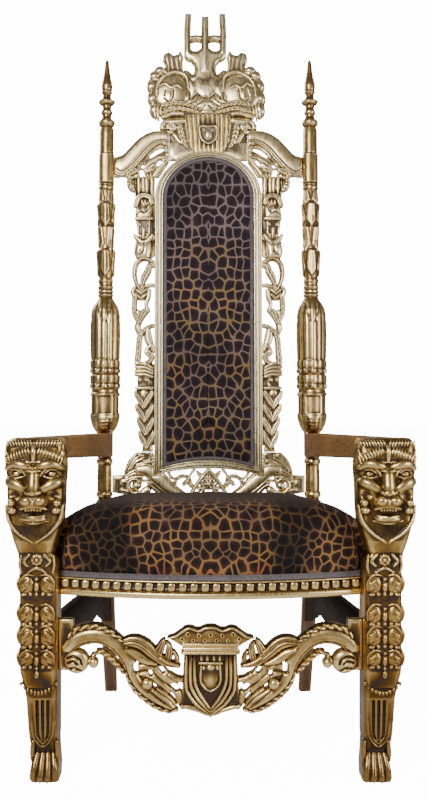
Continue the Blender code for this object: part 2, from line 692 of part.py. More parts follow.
def openwork(bm):
    """Right strip from the capital under the bracket to the leaf chain above the lower rail."""
    wide, tall = (STRIP_X - FRAME_HALF) / 35, (STRIP_TOP_Z - STRIP_BOTTOM_Z) / 730
    draw = Drawing(bm, (STRIP_X, STRIP_BOTTOM_Z), (wide, tall), BOARD)
    draw.board([(-40.5, 738), (29.5, 738), (22.5, 706), (15.5, 655), (-40.5, 655)], 0.8)
    draw.member([(17.5, 726, 8), (31.5, 720, 8), (30.5, 702, 8), (20.5, 695, 6)])
    draw.member([(-25.5, 658, 6), (-20.5, 672, 7), (-6.5, 678, 7), (9.5, 671, 7), (14.5, 653, 7)])
    draw.board([(-26.5, 658), (15.5, 658), (17.5, 628), (12.5, 612), (-26.5, 612)])
    draw.board([(-23.5, 616), (12.5, 616), (10.5, 584), (6.5, 566), (-5.5, 554), (-18.5, 566),
                (-22.5, 584)], 1.1)
    draw.member([(-30.5, 572, 5), (-20.5, 561, 6), (-5.5, 553, 7), (9.5, 561, 7), (18.5, 572, 5)])
    draw.bar(-44.5, -24.5, 560, 572, 0.7)
    draw.board([(-24.5, 558), (13.5, 558), (20.5, 536), (19.5, 520), (11.5, 506), (-20.5, 504),
                (-25.5, 528)])
    draw.member([(-30.5, 498, 6), (-16.5, 507, 6), (-0.5, 508, 7), (12.5, 498, 7), (18.5, 478, 7),
                 (16.5, 456, 7),
                 (8.5, 436, 6), (-0.5, 424, 5)])
    draw.bar(-44.5, -22.5, 486, 502, 0.7)
    draw.member([(-22.5, 490, 8), (-15.5, 475, 9), (-7.5, 460, 9), (-1.5, 442, 7), (-1.5, 424, 6)])
    draw.member([(-44.5, 439, 6), (-21.5, 439, 6), (-4.5, 434, 7)], 0.8)
    draw.egg(0.5, 418, 24, 20)
    draw.member([(16.5, 413, 7), (19.5, 388, 7), (17.5, 363, 7), (8.5, 340, 7)])
    draw.member([(-20.5, 420, 7), (-16.5, 400, 7), (-14.5, 374, 8), (-3.5, 362, 9), (3.5, 338, 7)])
    draw.board([(-4.5, 346), (17.5, 346), (19.5, 323), (9.5, 300), (-2.5, 318)])
    draw.member([(-44.5, 332, 6), (-26.5, 331, 6), (-10.5, 324, 8), (2.5, 306, 8), (7.5, 273, 8),
                 (9.5, 232, 8)])
    draw.member([(-16.5, 320, 9), (-19.5, 296, 10), (-26.5, 278, 9), (-18.5, 266, 8), (-25.5, 252, 8),
                 (-20.5, 236, 9)])
    draw.board([(-24.5, 240), (15.5, 238), (15.5, 216), (10.5, 196), (-22.5, 196), (-28.5, 212)])
    draw.bar(-21.5, 9.5, 168, 200)
    draw.bar(-30.5, 13.5, 164, 172)
    for k in range(CHEVRONS):
        middle = -7.5 - 2.5 * k
        top = 158 - CHEVRON_PITCH * k
        draw.member([(middle, top + 8, 11), (middle - 1, top - 42, 10)], 0.8)
        for turn in (-1, 1):
            tip, elbow = middle + turn * (21 - k), middle + turn * 12
            draw.member([(tip, top, 6), (elbow, top - 18, 9), (middle, top - 40, 7)])
        draw.bar(-44.5, middle - 10, top - 12, top - 1, 0.7)
    draw.member([(-17.5, 28, 12), (-17.5, 10, 14), (-14.5, -8, 16)], 0.9)


def strip_ends(bm):
    inner, outer = STRIP_X - 0.075, STRIP_X + 0.075
    block(bm, inner, outer, -BOARD_ROOM, BOARD_ROOM, STRIP_TOP_Z - GAP, STRIP_TOP_Z + 0.06)
    block(bm, inner, outer, -BOARD_ROOM, BOARD_ROOM, STRIP_BOTTOM_Z - 0.06, STRIP_BOTTOM_Z + GAP)


openwork_right = carved("openwork_right", openwork, 400, [frame_cut, cutter("cut_strip_ends", strip_ends)])
lean_back(openwork_right)
mirrored(openwork_right, "openwork_left")

# Lower back rail: acanthus at each corner and pierced tendrils round a flower
TENON_X = POST_X - TENON_HALF - GAP
RAIL_BOARD = 0.015


def lower_rail(bm):
    wide, tall = TENON_X / 251, (STRIP_BOTTOM_Z - LOWER_RAIL_Z) / 126
    for side in (-1, 1):
        draw = Drawing(bm, (0.0, LOWER_RAIL_Z), (wide, tall), RAIL_BOARD, 0.0, side)
        draw.board([(205, 68), (257, 66), (257, 28), (205, 18)])
        draw.board([(150, 139), (180, 139), (190, 122), (200, 109), (210, 89), (222, 66), (200, 59),
                    (170, 79),
                    (136, 109)], 0.9)
        draw.member([(133, 110, 7), (140, 122, 8), (158, 126, 9), (176, 122, 9)], 1.2)
        draw.egg(132, 97, 16, 13)
        draw.member([(182, 81, 14), (156, 78, 17), (130, 57, 17), (105, 36, 16), (82, 22, 12),
                     (56, 9, 9)], 1.2)
        draw.member([(172, 70, 14), (196, 66, 14), (218, 56, 10)])
        draw.member([(200, 58, 7), (209, 40, 8), (197, 23, 8), (182, 23, 6)])
        draw.egg(187, 40, 14, 13, 1.1)
        draw.member([(184, 20, 8), (205, 24, 9), (228, 31, 9)])
        draw.egg(220, 48, 14, 14)
        draw.member([(164, 50, 9), (143, 40, 11), (120, 20, 11), (102, 7, 8)])
        draw.member([(160, 28, 11), (170, 20, 10), (173, 6, 6)], 0.8)
        draw.member([(2, 80, 6), (20, 57, 7), (35, 36, 7), (50, 10, 8)], 0.9)
        draw.member([(45, 44, 6), (52, 60, 6), (70, 64, 6), (86, 52, 6), (86, 34, 6), (72, 18, 7)], 0.8)
        draw.member([(48, 60, 5), (44, 74, 5), (36, 94, 5)], 0.7)
        draw.member([(84, 56, 5), (97, 62, 5), (106, 84, 5)], 0.7)
        draw.member([(24, 52, 6), (14, 40, 8), (16, 26, 7), (32, 14, 7)], 0.8)
    draw.board(both_ways([(0, 24), (40, 24), (64, 5), (150, 3), (150, -8), (0, -8)]), 0.8)
    draw.egg(0, 44, 16, 17, 1.2)
    draw.member([(0, 54, 9), (0, 74, 8), (0, 100, 7)], 0.9)


def rail_ends(bm):
    low, high = LOWER_RAIL_Z - 0.05, STRIP_BOTTOM_Z + 0.08
    for side in (-1, 1):
        block(bm, side * TENON_X, side * (POST_X + 0.04), -BOARD_ROOM, BOARD_ROOM, low, high)
    reach, room = TENON_X - 0.011, BOARD_ROOM + 0.001
    block(bm, -reach, reach, -room, room, STRIP_BOTTOM_Z, high)
    block(bm, -reach, reach, -room, room, low, LOWER_RAIL_Z)


lean_back(carved("lower_back_rail", lower_rail, 540, [frame_cut, cutter("cut_rail_ends", rail_ends)]))

# Seat rails: a bowed front rail between the legs and straight rails behind
BOW = 0.060
FRONT_RAIL_Y = -0.2850
FRONT_RAIL_DEPTH = 0.026
SIDE_RAIL_WIDTH = 0.024
BACK_RAIL_HALF = 0.012
SEAT_SIDE_FRONT_X = 0.3530
SEAT_SIDE_REAR_X = POST_X + POST_HALF
BOW_STEPS = 12


def bow_y(x):
    """Front face of the seat: a shallow curve between the front legs."""
    return FRONT_RAIL_Y - BOW * (1 - (x / LEG_INNER_X) ** 2)


def front_rail():
    """Bowed rail with a fillet below and a hollowed band for the row of eggs."""
    height = RAIL_TOP_Z - RAIL_BOTTOM_Z
    section = [(0.003, 0.0), (-0.003, 0.08), (-0.004, 0.25), (0.002, 0.42), (0.004, 0.70), (0.0, 0.93),
               (0.002, 1.0),
               (FRONT_RAIL_DEPTH, 1.0), (FRONT_RAIL_DEPTH, 0.0)]
    rings = []
    reach = LEG_INNER_X - GAP
    for i in range(BOW_STEPS + 1):
        x = reach * (2 * i / BOW_STEPS - 1)
        rings.append([(x, bow_y(x) + inward, RAIL_BOTTOM_Z + share * height) for inward, share in section])
    bm = bmesh.new()
    skin(bm, rings)
    made_object("seat_rail_front", bm, GILDING)


def side_rail(name, side):
    rings = []
    front, rear = lambda z: LEG_BACK_Y + GAP, lambda z: post_y(z) - POST_HALF - GAP
    for outer, y_at in ((SEAT_SIDE_FRONT_X, front), (SEAT_SIDE_REAR_X, rear)):
        ring = []
        for x, z in ((outer, RAIL_BOTTOM_Z), (outer, RAIL_TOP_Z), (outer - SIDE_RAIL_WIDTH, RAIL_TOP_Z),
                     (outer - SIDE_RAIL_WIDTH, RAIL_BOTTOM_Z)):
            ring.append((side * x, y_at(z), z))
        rings.append(ring)
    bm = bmesh.new()
    skin(bm, rings)
    made_object(name, bm, BRONZED)


def back_rail():
    reach = POST_X - POST_HALF - GAP
    half = BACK_RAIL_HALF
    corners = ((RAIL_BOTTOM_Z, -half), (RAIL_TOP_Z, -half), (RAIL_TOP_Z, half), (RAIL_BOTTOM_Z, half))
    rings = [[(x, post_y(z) + inward, z) for z, inward in corners] for x in (-reach, reach)]
    bm = bmesh.new()
    skin(bm, rings)
    made_object("seat_rail_back", bm, BRONZED)


front_rail()
side_rail("seat_rail_right", 1)
side_rail("seat_rail_left", -1)
back_rail()

# Seat cushion and the braid along its lower edge
CUSHION_BASE_Z = RAIL_TOP_Z + GAP
CUSHION_REAR_Y = 0.120
CUSHION_EDGE_Z = 0.470
SIDE_SWELL = 0.006
COVER_OVERHANG = 0.002
FRONT_SETBACK = 0.004
SEAT_MIDDLE_Y = -0.075
FRONT_STEPS = 12


def seat_plan(inset):
    """Plan of the seat: bowed front between the legs, notched round them, narrower behind."""
    notch_x = LEG_INNER_X - GAP - inset
    front = []
    for i in range(FRONT_STEPS + 1):
        x = notch_x * (2 * i / FRONT_STEPS - 1)
        front.append((x, bow_y(x) + FRONT_SETBACK + inset))
    notch_y = LEG_BACK_Y + GAP + inset
    front_x, rear_x = SEAT_SIDE_FRONT_X + COVER_OVERHANG - inset, SEAT_SIDE_REAR_X + COVER_OVERHANG - inset
    middle_x, middle_y = (front_x + rear_x) / 2 + SIDE_SWELL, (notch_y + CUSHION_REAR_Y) / 2
    right = [(notch_x, notch_y), (front_x, notch_y), (middle_x, middle_y), (rear_x, CUSHION_REAR_Y - inset)]
    left = [(-x, y) for x, y in right[::-1]]
    return front + right + left


def drawn_in(outline, share):
    """The outline moved towards the middle of the seat."""
    middle = Vector((0.0, SEAT_MIDDLE_Y))
    return [tuple(Vector(point).lerp(middle, share)) for point in outline]


def seat_cushion():
    levels = [(0.0, CUSHION_BASE_Z)]
    for drawn, rise in ((0.0, 0.0), (0.012, 0.34), (0.040, 0.585), (0.100, 0.745), (0.22, 0.88),
                        (0.45, 0.97), (0.72, 1.0)):
        levels.append((drawn, CUSHION_EDGE_Z + (SEAT_CROWN_Z - CUSHION_EDGE_Z) * rise))
    plan = seat_plan(BRAID_THICKNESS + GAP)
    rings = [[(x, y, z) for x, y in drawn_in(plan, share)] for share, z in levels]
    bm = bmesh.new()
    skin(bm, rings)
    made_object("seat_cushion", bm, LEOPARD)


def seat_braid():
    """Braid that runs round the foot of the cushion."""
    low, high = CUSHION_BASE_Z, CUSHION_BASE_Z + BRAID_HEIGHT
    corners = [(0.0, low), (0.0, high), (BRAID_THICKNESS, high), (BRAID_THICKNESS, low)]
    rings = [[(x, y, z) for x, y in seat_plan(inset)] for inset, z in corners]
    bm = bmesh.new()
    skin(bm, rings, closed=True)
    made_object("seat_braid", bm, BRAID)


seat_cushion()
seat_braid()

# Front stretcher: end blocks, rolled S-scrolls, leaves and a crowned shield
STRETCHER_Y = -0.290
STRETCHER_DEEP = 0.015


def front_stretcher(bm):
    """The pierced board between the front legs, drawn in parts of its reach and of its top height."""
    part = (LEG_INNER_X / 322, STRETCHER_TOP_Z / 338)
    for side in (-1, 1):
        scrolls(Drawing(bm, (0.0, 0.0), part, STRETCHER_DEEP, STRETCHER_Y, side))
    draw = Drawing(bm, (0.0, 0.0), part, STRETCHER_DEEP, STRETCHER_Y)
    draw.board(both_ways([(0, 325), (12, 325), (30, 319), (46, 324), (60, 318), (74, 308), (93, 299),
                          (72, 290), (57, 279), (0, 279)]), 1.2)
    draw.bar(-58, 58, 266, 280, 1.33)
    draw.board(both_ways([(0, 268), (54, 268), (56, 205), (46, 165), (20, 142), (0, 127)]))
    draw.board(both_ways([(0, 246), (18, 246), (19, 205), (0, 185)]), 1.33, -0.27)


def scrolls(draw):
    """The right half of the stretcher, from the block at the leg to the edge of the shield."""
    draw.bar(291, 330, 223.5, 337)
    draw.egg(284, 246.5, 25.5, 25.5, 1.2, 0.2)
    draw.member([(296, 282, 20), (273, 301, 20), (247, 306, 19), (220, 299, 19), (194, 279, 18),
                 (174, 252, 16),
                 (166.5, 230, 14), (160, 208, 13), (146, 188, 13), (122, 167, 12), (96, 151, 10),
                 (76, 150, 9), (66, 164, 8)])
    draw.member([(186, 283, 10), (160, 290, 14), (128, 272, 13), (98, 246, 10), (70, 238, 8)], 1.0, 0.13)
    draw.member([(118, 262, 12), (106, 280, 9), (99.5, 294, 3)], 0.8)
    draw.member([(92, 246, 10), (80, 268, 8), (83, 286, 4)], 0.8)
    draw.member([(72, 240, 7), (68, 255, 6), (76, 268, 3)], 0.8)
    draw.member([(247, 243, 10), (236, 262, 7), (214, 252, 8), (196, 238, 8), (178, 226, 10)], 0.8)
    draw.egg(251, 243, 11, 12, 0.8)
    draw.egg(134, 201.5, 12.5, 12.5, 1.0, 0.27)
    draw.member([(160, 215, 6), (149, 232, 6), (130, 236, 7), (108, 222, 10), (90, 206, 10),
                 (56, 206, 8)], 0.8)
    draw.member([(134, 196, 8), (112, 180, 12), (92, 164, 11), (72, 152, 6)], 1.0, 0.13)
    draw.member([(100, 212, 8), (86, 232, 5), (80, 244, 4)], 0.7)
    draw.member([(70, 165, 7), (62, 180, 8), (50, 200, 8)], 0.8)
    for x in (50, 25):
        draw.egg(x, 300, 7, 7, 0.4, 1.0)
    for x, low in ((46, 205), (33, 180)):
        draw.member([(x, 258, 4.5), (x, low, 4.5), (x * 0.55, 158, 4.5), (4, 146, 4)], 0.47, 1.0)
    draw.member([(54, 152, 6), (34, 146, 8), (10, 134, 6)], 0.9)


def stretcher_ends(bm):
    near, far = STRETCHER_Y - 0.11, STRETCHER_Y + 0.11
    for side in (-1, 1):
        block(bm, side * (LEG_INNER_X - GAP), side * 0.40, near, far, 0.10, STRETCHER_TOP_Z + 0.06)


carved("front_stretcher", front_stretcher, 860, [cutter("cut_stretcher_ends", stretcher_ends)])

# Side stretchers: boards between the legs whose lower edge arches up in front of the back leg
SIDE_STRETCHER_HALF = 0.011
SIDE_STRETCHER_CLEAR = 0.0005
SIDE_STRETCHER_DIP = 0.030
SIDE_STRETCHER_ARCH = ((0.0, 0.020), (0.30, 0.027), (0.50, 0.041), (0.65, 0.0535), (0.77, 0.0665),
                       (0.83, 0.061),
                       (0.90, 0.038), (1.0, 0.0165))
SIDE_ARCH_STEPS = 12


def side_spot(t, z, face, side):
    """A point on the side stretcher, t of the way from the front leg to the back leg."""
    start_y = LEG_BACK_Y + GAP
    end_y = post_y(z) - LEG_AT_STRETCHER - GAP - SIDE_STRETCHER_CLEAR
    x = SEAT_SIDE_FRONT_X + (POST_X - SEAT_SIDE_FRONT_X) * t
    return side * (x + face), start_y + (end_y - start_y) * t, z


def side_stretcher(name, side):
    """A board between the front leg and the back leg."""
    edge = []
    for i in range(SIDE_ARCH_STEPS + 1):
        t = i / SIDE_ARCH_STEPS
        dip = SIDE_STRETCHER_DIP * (1 - math.sin(math.pi * (0.15 + t * 0.85) / 1.7))
        edge.append((t, STRETCHER_TOP_Z - dip))
    for t, rise in SIDE_STRETCHER_ARCH[::-1]:
        edge.append((t, STRETCHER_LOW_Z + rise))
    half = SIDE_STRETCHER_HALF
    bm = bmesh.new()
    skin(bm, [[side_spot(t, z, face, side) for t, z in edge] for face in (-half, half)])
    made_object(name, bm, BRONZED)


side_stretcher("side_stretcher_right", 1)
side_stretcher("side_stretcher_left", -1)
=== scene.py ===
import json
import math

import bmesh
import bpy
import numpy as np
from mathutils import Matrix, Vector

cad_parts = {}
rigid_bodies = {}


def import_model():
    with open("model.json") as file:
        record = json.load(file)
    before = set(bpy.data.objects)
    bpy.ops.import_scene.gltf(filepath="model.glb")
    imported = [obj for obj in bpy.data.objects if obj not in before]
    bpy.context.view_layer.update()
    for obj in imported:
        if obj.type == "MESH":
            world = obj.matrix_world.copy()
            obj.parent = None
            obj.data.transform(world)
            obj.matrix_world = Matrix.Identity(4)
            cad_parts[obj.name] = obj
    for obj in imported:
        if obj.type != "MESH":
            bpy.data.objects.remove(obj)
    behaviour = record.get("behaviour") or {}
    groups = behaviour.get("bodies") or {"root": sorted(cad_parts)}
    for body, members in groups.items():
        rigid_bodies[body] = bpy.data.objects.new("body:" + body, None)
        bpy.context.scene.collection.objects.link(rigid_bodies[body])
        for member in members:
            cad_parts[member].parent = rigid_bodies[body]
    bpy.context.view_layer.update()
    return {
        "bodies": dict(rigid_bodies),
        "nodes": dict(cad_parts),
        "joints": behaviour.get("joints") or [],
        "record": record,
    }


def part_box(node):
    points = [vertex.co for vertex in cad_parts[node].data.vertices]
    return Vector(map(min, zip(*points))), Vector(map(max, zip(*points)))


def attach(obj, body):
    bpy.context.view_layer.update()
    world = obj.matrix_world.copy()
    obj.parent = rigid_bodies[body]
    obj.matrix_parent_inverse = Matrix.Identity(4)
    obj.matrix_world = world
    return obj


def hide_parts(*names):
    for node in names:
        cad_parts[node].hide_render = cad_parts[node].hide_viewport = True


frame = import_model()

# Front legs. Each leg is one hardwood post carved as a lion: mask and mane above, a garland of leaves
# down the front, a fluted shank and a paw. It is gilded over brown size; the leaf is paler where it stands
# out, partly abraded leaf and partly painted highlight, and dark in the hollows, partly size and patina and
# partly painted shade, and painted shade makes it darker and redder towards the floor. The arm is let into
# the back of the mane.
LEAF_STEP = 0.0018
HEAD_X = 0.37
PAW_X = 0.3475
LEG_FRONT = -0.336
LEG_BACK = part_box("front_leg_right")[1].y
ARM_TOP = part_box("front_leg_right")[1].z
LEG_INNER = 0.3225
LEG_OUTER = 0.4065


class Wood:
    """A block of wood kept as distances to its surface, negative inside, that the carver adds to and cuts."""

    def __init__(self, low, high, step):
        self.low, self.step = np.array(low), step
        self.field = np.full([math.ceil((h - l) / step) + 1 for l, h in zip(low, high)], 0.03, np.float32)

    def room(self, low, high):
        """The cells between two corners, with their coordinates."""
        first = [max(0, int((l - o) / self.step)) for l, o in zip(low, self.low)]
        last = [min(n, int((h - o) / self.step) + 2) for h, o, n in zip(high, self.low, self.field.shape)]
        lines = [(o + self.step * np.arange(a, b)).astype(np.float32)
                 for o, a, b in zip(self.low, first, last)]
        where = tuple(slice(a, b) for a, b in zip(first, last))
        return where, lines[0][:, None, None], lines[1][None, :, None], lines[2][None, None, :]

    def add(self, where, distance, soft):
        kept = self.field[where]
        near = np.maximum(soft - np.abs(kept - distance), 0) / soft
        self.field[where] = np.minimum(kept, distance) - near * near * soft / 4

    def cut(self, where, distance, soft):
        kept = self.field[where]
        near = np.maximum(soft - np.abs(kept + distance), 0) / soft
        self.field[where] = np.maximum(kept, -distance) + near * near * soft / 4

    def lump(self, centre, radii, soft=0.003, cut=False):
        """An egg-shaped swelling, or a hollow of that shape."""
        reach = max(radii) + soft + 2 * self.step
        where, x, y, z = self.room([c - reach for c in centre], [c + reach for c in centre])
        u, v, w = (x - centre[0]) / radii[0], (y - centre[1]) / radii[1], (z - centre[2]) / radii[2]
        size = np.sqrt(u * u + v * v + w * w) + 1e-6
        slope = np.sqrt((u / radii[0]) ** 2 + (v / radii[1]) ** 2 + (w / radii[2]) ** 2) + 1e-6
        (self.cut if cut else self.add)(where, size * (size - 1) / slope, soft)

    def roll(self, rows, soft=0.002, flat=1.0, cut=False):
        """A rolled strand through rows of (x, y, z, radius); flat squeezes it from front to back."""
        route = through(rows)
        for a, b in zip(route, route[1:]):
            reach = max(a[3], b[3]) + soft + 2 * self.step
            where, x, y, z = self.room(np.minimum(a[:3], b[:3]) - reach, np.maximum(a[:3], b[:3]) + reach)
            run = b[:3] - a[:3]
            run_y = run[1] / flat
            length = run[0] ** 2 + run_y ** 2 + run[2] ** 2 + 1e-12
            dx, dy, dz = x - a[0], (y - a[1]) / flat, z - a[2]
            t = np.clip((dx * run[0] + dy * run_y + dz * run[2]) / length, 0, 1)
            gap = np.sqrt((dx - t * run[0]) ** 2 + (dy - t * run_y) ** 2 + (dz - t * run[2]) ** 2)
            (self.cut if cut else self.add)(where, (gap - a[3] - t * (b[3] - a[3])) * min(1.0, flat + 0.3),
                                            soft)

    def trunk(self, rows):
        """The squared log: rows of (z, x0, x1, y0, y1, corner radius)."""
        where, x, y, z = self.room(self.low, self.low + self.step * np.array(self.field.shape))
        rows = np.array(rows)
        levels = z[0, 0]
        x0, x1, y0, y1, corner = (np.interp(levels, rows[:, 0], rows[:, k]).astype(np.float32)
                                  for k in range(1, 6))
        dx = np.abs(x - (x0 + x1) / 2) - (x1 - x0) / 2 + corner
        dy = np.abs(y - (y0 + y1) / 2) - (y1 - y0) / 2 + corner
        outside = np.sqrt(np.maximum(dx, 0) ** 2 + np.maximum(dy, 0) ** 2)
        side = outside + np.minimum(np.maximum(dx, dy), 0) - corner
        ends = np.maximum(rows[0, 0] - levels, levels - rows[-1, 0])
        self.add(where, np.maximum(side, ends), 0.0001)

    def trim(self, axis, place, sign):
        """Saw the block off flat."""
        line = self.low[axis] + self.step * np.arange(self.field.shape[axis])
        shape = [1, 1, 1]
        shape[axis] = -1
        self.field = np.maximum(self.field, (sign * (line - place)).reshape(shape).astype(np.float32))


def through(rows, steps=5):
    """Points along a smooth curve through the rows."""
    rows = np.array(rows, float)
    padded = np.vstack([2 * rows[0] - rows[1], rows, 2 * rows[-1] - rows[-2]])
    points = []
    for a, b, c, d in zip(padded, padded[1:], padded[2:], padded[3:]):
        for t in np.arange(steps) / steps:
            points.append(0.5 * (2 * b + (c - a) * t + (2 * a - 5 * b + 4 * c - d) * t ** 2
                                 + (3 * b - a - 3 * c + d) * t ** 3))
    return points + [rows[-1]]


def surface_of(field, low, step):
    """Points and four-sided faces where the field changes sign, facing outwards."""
    inside = field < 0
    corners = np.zeros([n - 1 for n in field.shape], np.int8)
    for i in (0, 1):
        for j in (0, 1):
            for k in (0, 1):
                corners += inside[i:i + corners.shape[0], j:j + corners.shape[1], k:k + corners.shape[2]]
    cells = np.argwhere((corners > 0) & (corners < 8))
    index = np.full(corners.shape, -1, np.int32)
    index[tuple(cells.T)] = np.arange(len(cells))
    total, hits = np.zeros((len(cells), 3)), np.zeros(len(cells))
    for axis in range(3):
        others = [n for n in range(3) if n != axis]
        for i in (0, 1):
            for j in (0, 1):
                start = np.zeros(3, int)
                start[others[0]], start[others[1]] = i, j
                a = field[tuple((cells + start).T)].astype(float)
                end = start.copy()
                end[axis] = 1
                b = field[tuple((cells + end).T)].astype(float)
                crossed = (a < 0) != (b < 0)
                place = np.repeat(start[None].astype(float), crossed.sum(), 0)
                place[:, axis] = (a / (a - b + 1e-30))[crossed]
                total[crossed] += place
                hits[crossed] += 1
    points = np.asarray(low) + step * (cells + total / hits[:, None])
    faces = []
    for axis in range(3):
        u, v = (axis + 1) % 3, (axis + 2) % 3
        first = [slice(None)] * 3
        first[axis] = slice(0, -1)
        second = [slice(None)] * 3
        second[axis] = slice(1, None)
        change = inside[tuple(first)].astype(np.int8) - inside[tuple(second)].astype(np.int8)
        edge = np.argwhere(change != 0)
        edge = edge[(edge[:, u] > 0) & (edge[:, v] > 0) & (edge[:, u] < field.shape[u] - 1)
                    & (edge[:, v] < field.shape[v] - 1)]
        sign = change[tuple(edge.T)]
        ring = []
        for du, dv in ((1, 1), (0, 1), (0, 0), (1, 0)):
            cell = edge.copy()
            cell[:, u] -= du
            cell[:, v] -= dv
            ring.append(index[tuple(cell.T)])
        ring = np.stack(ring, 1)
        ring[sign < 0] = ring[sign < 0][:, ::-1]
        faces.append(ring)
    return points, np.concatenate(faces)


def stood(name, mesh):
    """An object at the origin, in the scene."""
    obj = bpy.data.objects.new(name, mesh)
    bpy.context.scene.collection.objects.link(obj)
    return obj


def made(name, points, faces, finish):
    """A smooth mesh object from arrays of points and faces."""
    mesh = bpy.data.meshes.new(name)
    size = faces.shape[1]
    mesh.vertices.add(len(points))
    mesh.vertices.foreach_set("co", np.asarray(points, np.float32).ravel())
    mesh.loops.add(faces.size)
    mesh.loops.foreach_set("vertex_index", faces.astype(np.int32).ravel())
    mesh.polygons.add(len(faces))
    mesh.polygons.foreach_set("loop_start", np.arange(0, faces.size, size, dtype=np.int32))
    mesh.update(calc_edges=True)
    mesh.validate()
    mesh.shade_smooth()
    mesh.materials.append(finish)
    return stood(name, mesh)


def settled(obj):
    """Make what the modifiers show the piece's own mesh."""
    result = bpy.data.meshes.new_from_object(obj.evaluated_get(bpy.context.evaluated_depsgraph_get()))
    obj.modifiers.clear()
    obj.data = result
    return result


def thinned(obj, faces):
    """Fewer, larger faces where the carving is plain."""
    count = sum(len(p.vertices) - 2 for p in obj.data.polygons)
    if count <= faces:
        return
    modifier = obj.modifiers.new("Thin", "DECIMATE")
    modifier.ratio = faces / count
    settled(obj).shade_smooth()


def marked_for_wear_and_shade(obj, reach):
    """Mark every point of a carving from 0 in a hollow to 1 on a ridge. The gilding paints its colours from
    this mark: dark in the hollows, partly size and patina and partly painted shade, and pale on the ridges,
    partly abraded leaf and partly painted highlight.
    """
    mesh = obj.data
    count = len(mesh.vertices)
    points = np.empty(count * 3, np.float32)
    mesh.vertices.foreach_get("co", points)
    points = points.reshape(-1, 3).astype(float)
    normals = np.empty(count * 3, np.float32)
    mesh.vertices.foreach_get("normal", normals)
    normals = normals.reshape(-1, 3)
    edges = np.empty(len(mesh.edges) * 2, np.int32)
    mesh.edges.foreach_get("vertices", edges)
    a, b = edges.reshape(-1, 2).T
    degree = np.maximum(np.bincount(a, minlength=count) + np.bincount(b, minlength=count), 1)[:, None]
    smooth, relief = points.copy(), np.zeros(count)
    for turn in range(1, 25):
        moved = np.empty_like(smooth)
        for k in range(3):
            moved[:, k] = (np.bincount(a, smooth[b, k], count) + np.bincount(b, smooth[a, k], count))
        smooth = 0.5 * smooth + 0.5 * moved / degree
        if turn in (3, 9, 24):
            relief += ((points - smooth) * normals).sum(1) / (reach * turn ** 0.5)
    kept = mesh.attributes.new("relief", "FLOAT", "POINT")
    kept.data.foreach_set("value", np.clip(0.5 + relief, 0, 1).astype(np.float32))


def link(tree, pairs):
    for source, target in pairs:
        tree.links.new(source, target)


def node(tree, kind, **settings):
    """A shader node with its settings and plain input values."""
    new = tree.nodes.new(kind)
    for key, value in settings.items():
        if hasattr(new, key) and not key[0].isupper():
            setattr(new, key, value)
        else:
            new.inputs[key.replace("_", " ")].default_value = value
    return new


def ramp(tree, source, stops):
    """Colours along a value."""
    band = tree.nodes.new("ShaderNodeValToRGB")
    while len(band.color_ramp.elements) < len(stops):
        band.color_ramp.elements.new(0.5)
    for element, (place, colour) in zip(band.color_ramp.elements, stops):
        element.position = place
        element.color = (*colour, 1.0)
    tree.links.new(source, band.inputs["Fac"])
    return band.outputs["Color"]


def blank(name):
    """A new material with its tree and its shader."""
    finish = bpy.data.materials.new(name)
    finish.use_nodes = True
    return finish, finish.node_tree, finish.node_tree.nodes["Principled BSDF"]


def spanned(tree, from_min, from_max, to_min=0.0, to_max=1.0):
    """A Map Range node with its four ends."""
    new = tree.nodes.new("ShaderNodeMapRange")
    ends = (("From Min", from_min), ("From Max", from_max), ("To Min", to_min), ("To Max", to_max))
    for label, value in ends:
        new.inputs[label].default_value = value
    return new


def worn_and_shaded_group():
    """Leaf mask: blotches and brush streaks over the relief, given as a mask, a roughness and a fine height;
    the relief in the mask carries painted shade in the hollows and painted highlight on the ridges as well as
    real abrasion and patina.
    """
    group = bpy.data.node_groups.new("Worn and shaded leaf", "ShaderNodeTree")
    for label in ("Relief", "Blotch scale", "Blotch strength"):
        group.interface.new_socket(label, in_out="INPUT", socket_type="NodeSocketFloat")
    for label in ("Mask", "Roughness", "Height"):
        group.interface.new_socket(label, in_out="OUTPUT", socket_type="NodeSocketFloat")
    entry, leave = group.nodes.new("NodeGroupInput"), group.nodes.new("NodeGroupOutput")
    place = node(group, "ShaderNodeTexCoord")
    blotch = node(group, "ShaderNodeTexNoise", Detail=4.0, Roughness=0.6)
    grain = node(group, "ShaderNodeTexNoise", Scale=420.0, Detail=3.0, Roughness=0.7)
    streak_place = node(group, "ShaderNodeMapping")
    streak_place.inputs["Scale"].default_value = (260.0, 260.0, 40.0)
    streak = node(group, "ShaderNodeTexNoise", Scale=1.0, Detail=3.0)
    centred = node(group, "ShaderNodeMath", operation="SUBTRACT")
    centred.inputs[1].default_value = 0.5
    spread = node(group, "ShaderNodeMath", operation="MULTIPLY")
    mask = node(group, "ShaderNodeMath", operation="ADD", use_clamp=True)
    dull = spanned(group, 0.25, 0.75, 0.2, 0.42)
    fine = node(group, "ShaderNodeMath", operation="ADD")
    link(group, [(place.outputs["Object"], blotch.inputs["Vector"]),
                 (entry.outputs["Blotch scale"], blotch.inputs["Scale"]),
                 (place.outputs["Object"], grain.inputs["Vector"]),
                 (place.outputs["Object"], streak_place.inputs["Vector"]),
                 (streak_place.outputs["Vector"], streak.inputs["Vector"]),
                 (blotch.outputs["Fac"], centred.inputs[0]), (centred.outputs[0], spread.inputs[0]),
                 (entry.outputs["Blotch strength"], spread.inputs[1]), (spread.outputs[0], mask.inputs[0]),
                 (entry.outputs["Relief"], mask.inputs[1]), (mask.outputs[0], leave.inputs["Mask"]),
                 (streak.outputs["Fac"], dull.inputs["Value"]),
                 (dull.outputs["Result"], leave.inputs["Roughness"]),
                 (grain.outputs["Fac"], fine.inputs[0]), (streak.outputs["Fac"], fine.inputs[1]),
                 (fine.outputs[0], leave.inputs["Height"])])
    return group


WORN_AND_SHADED_LEAF = worn_and_shaded_group()


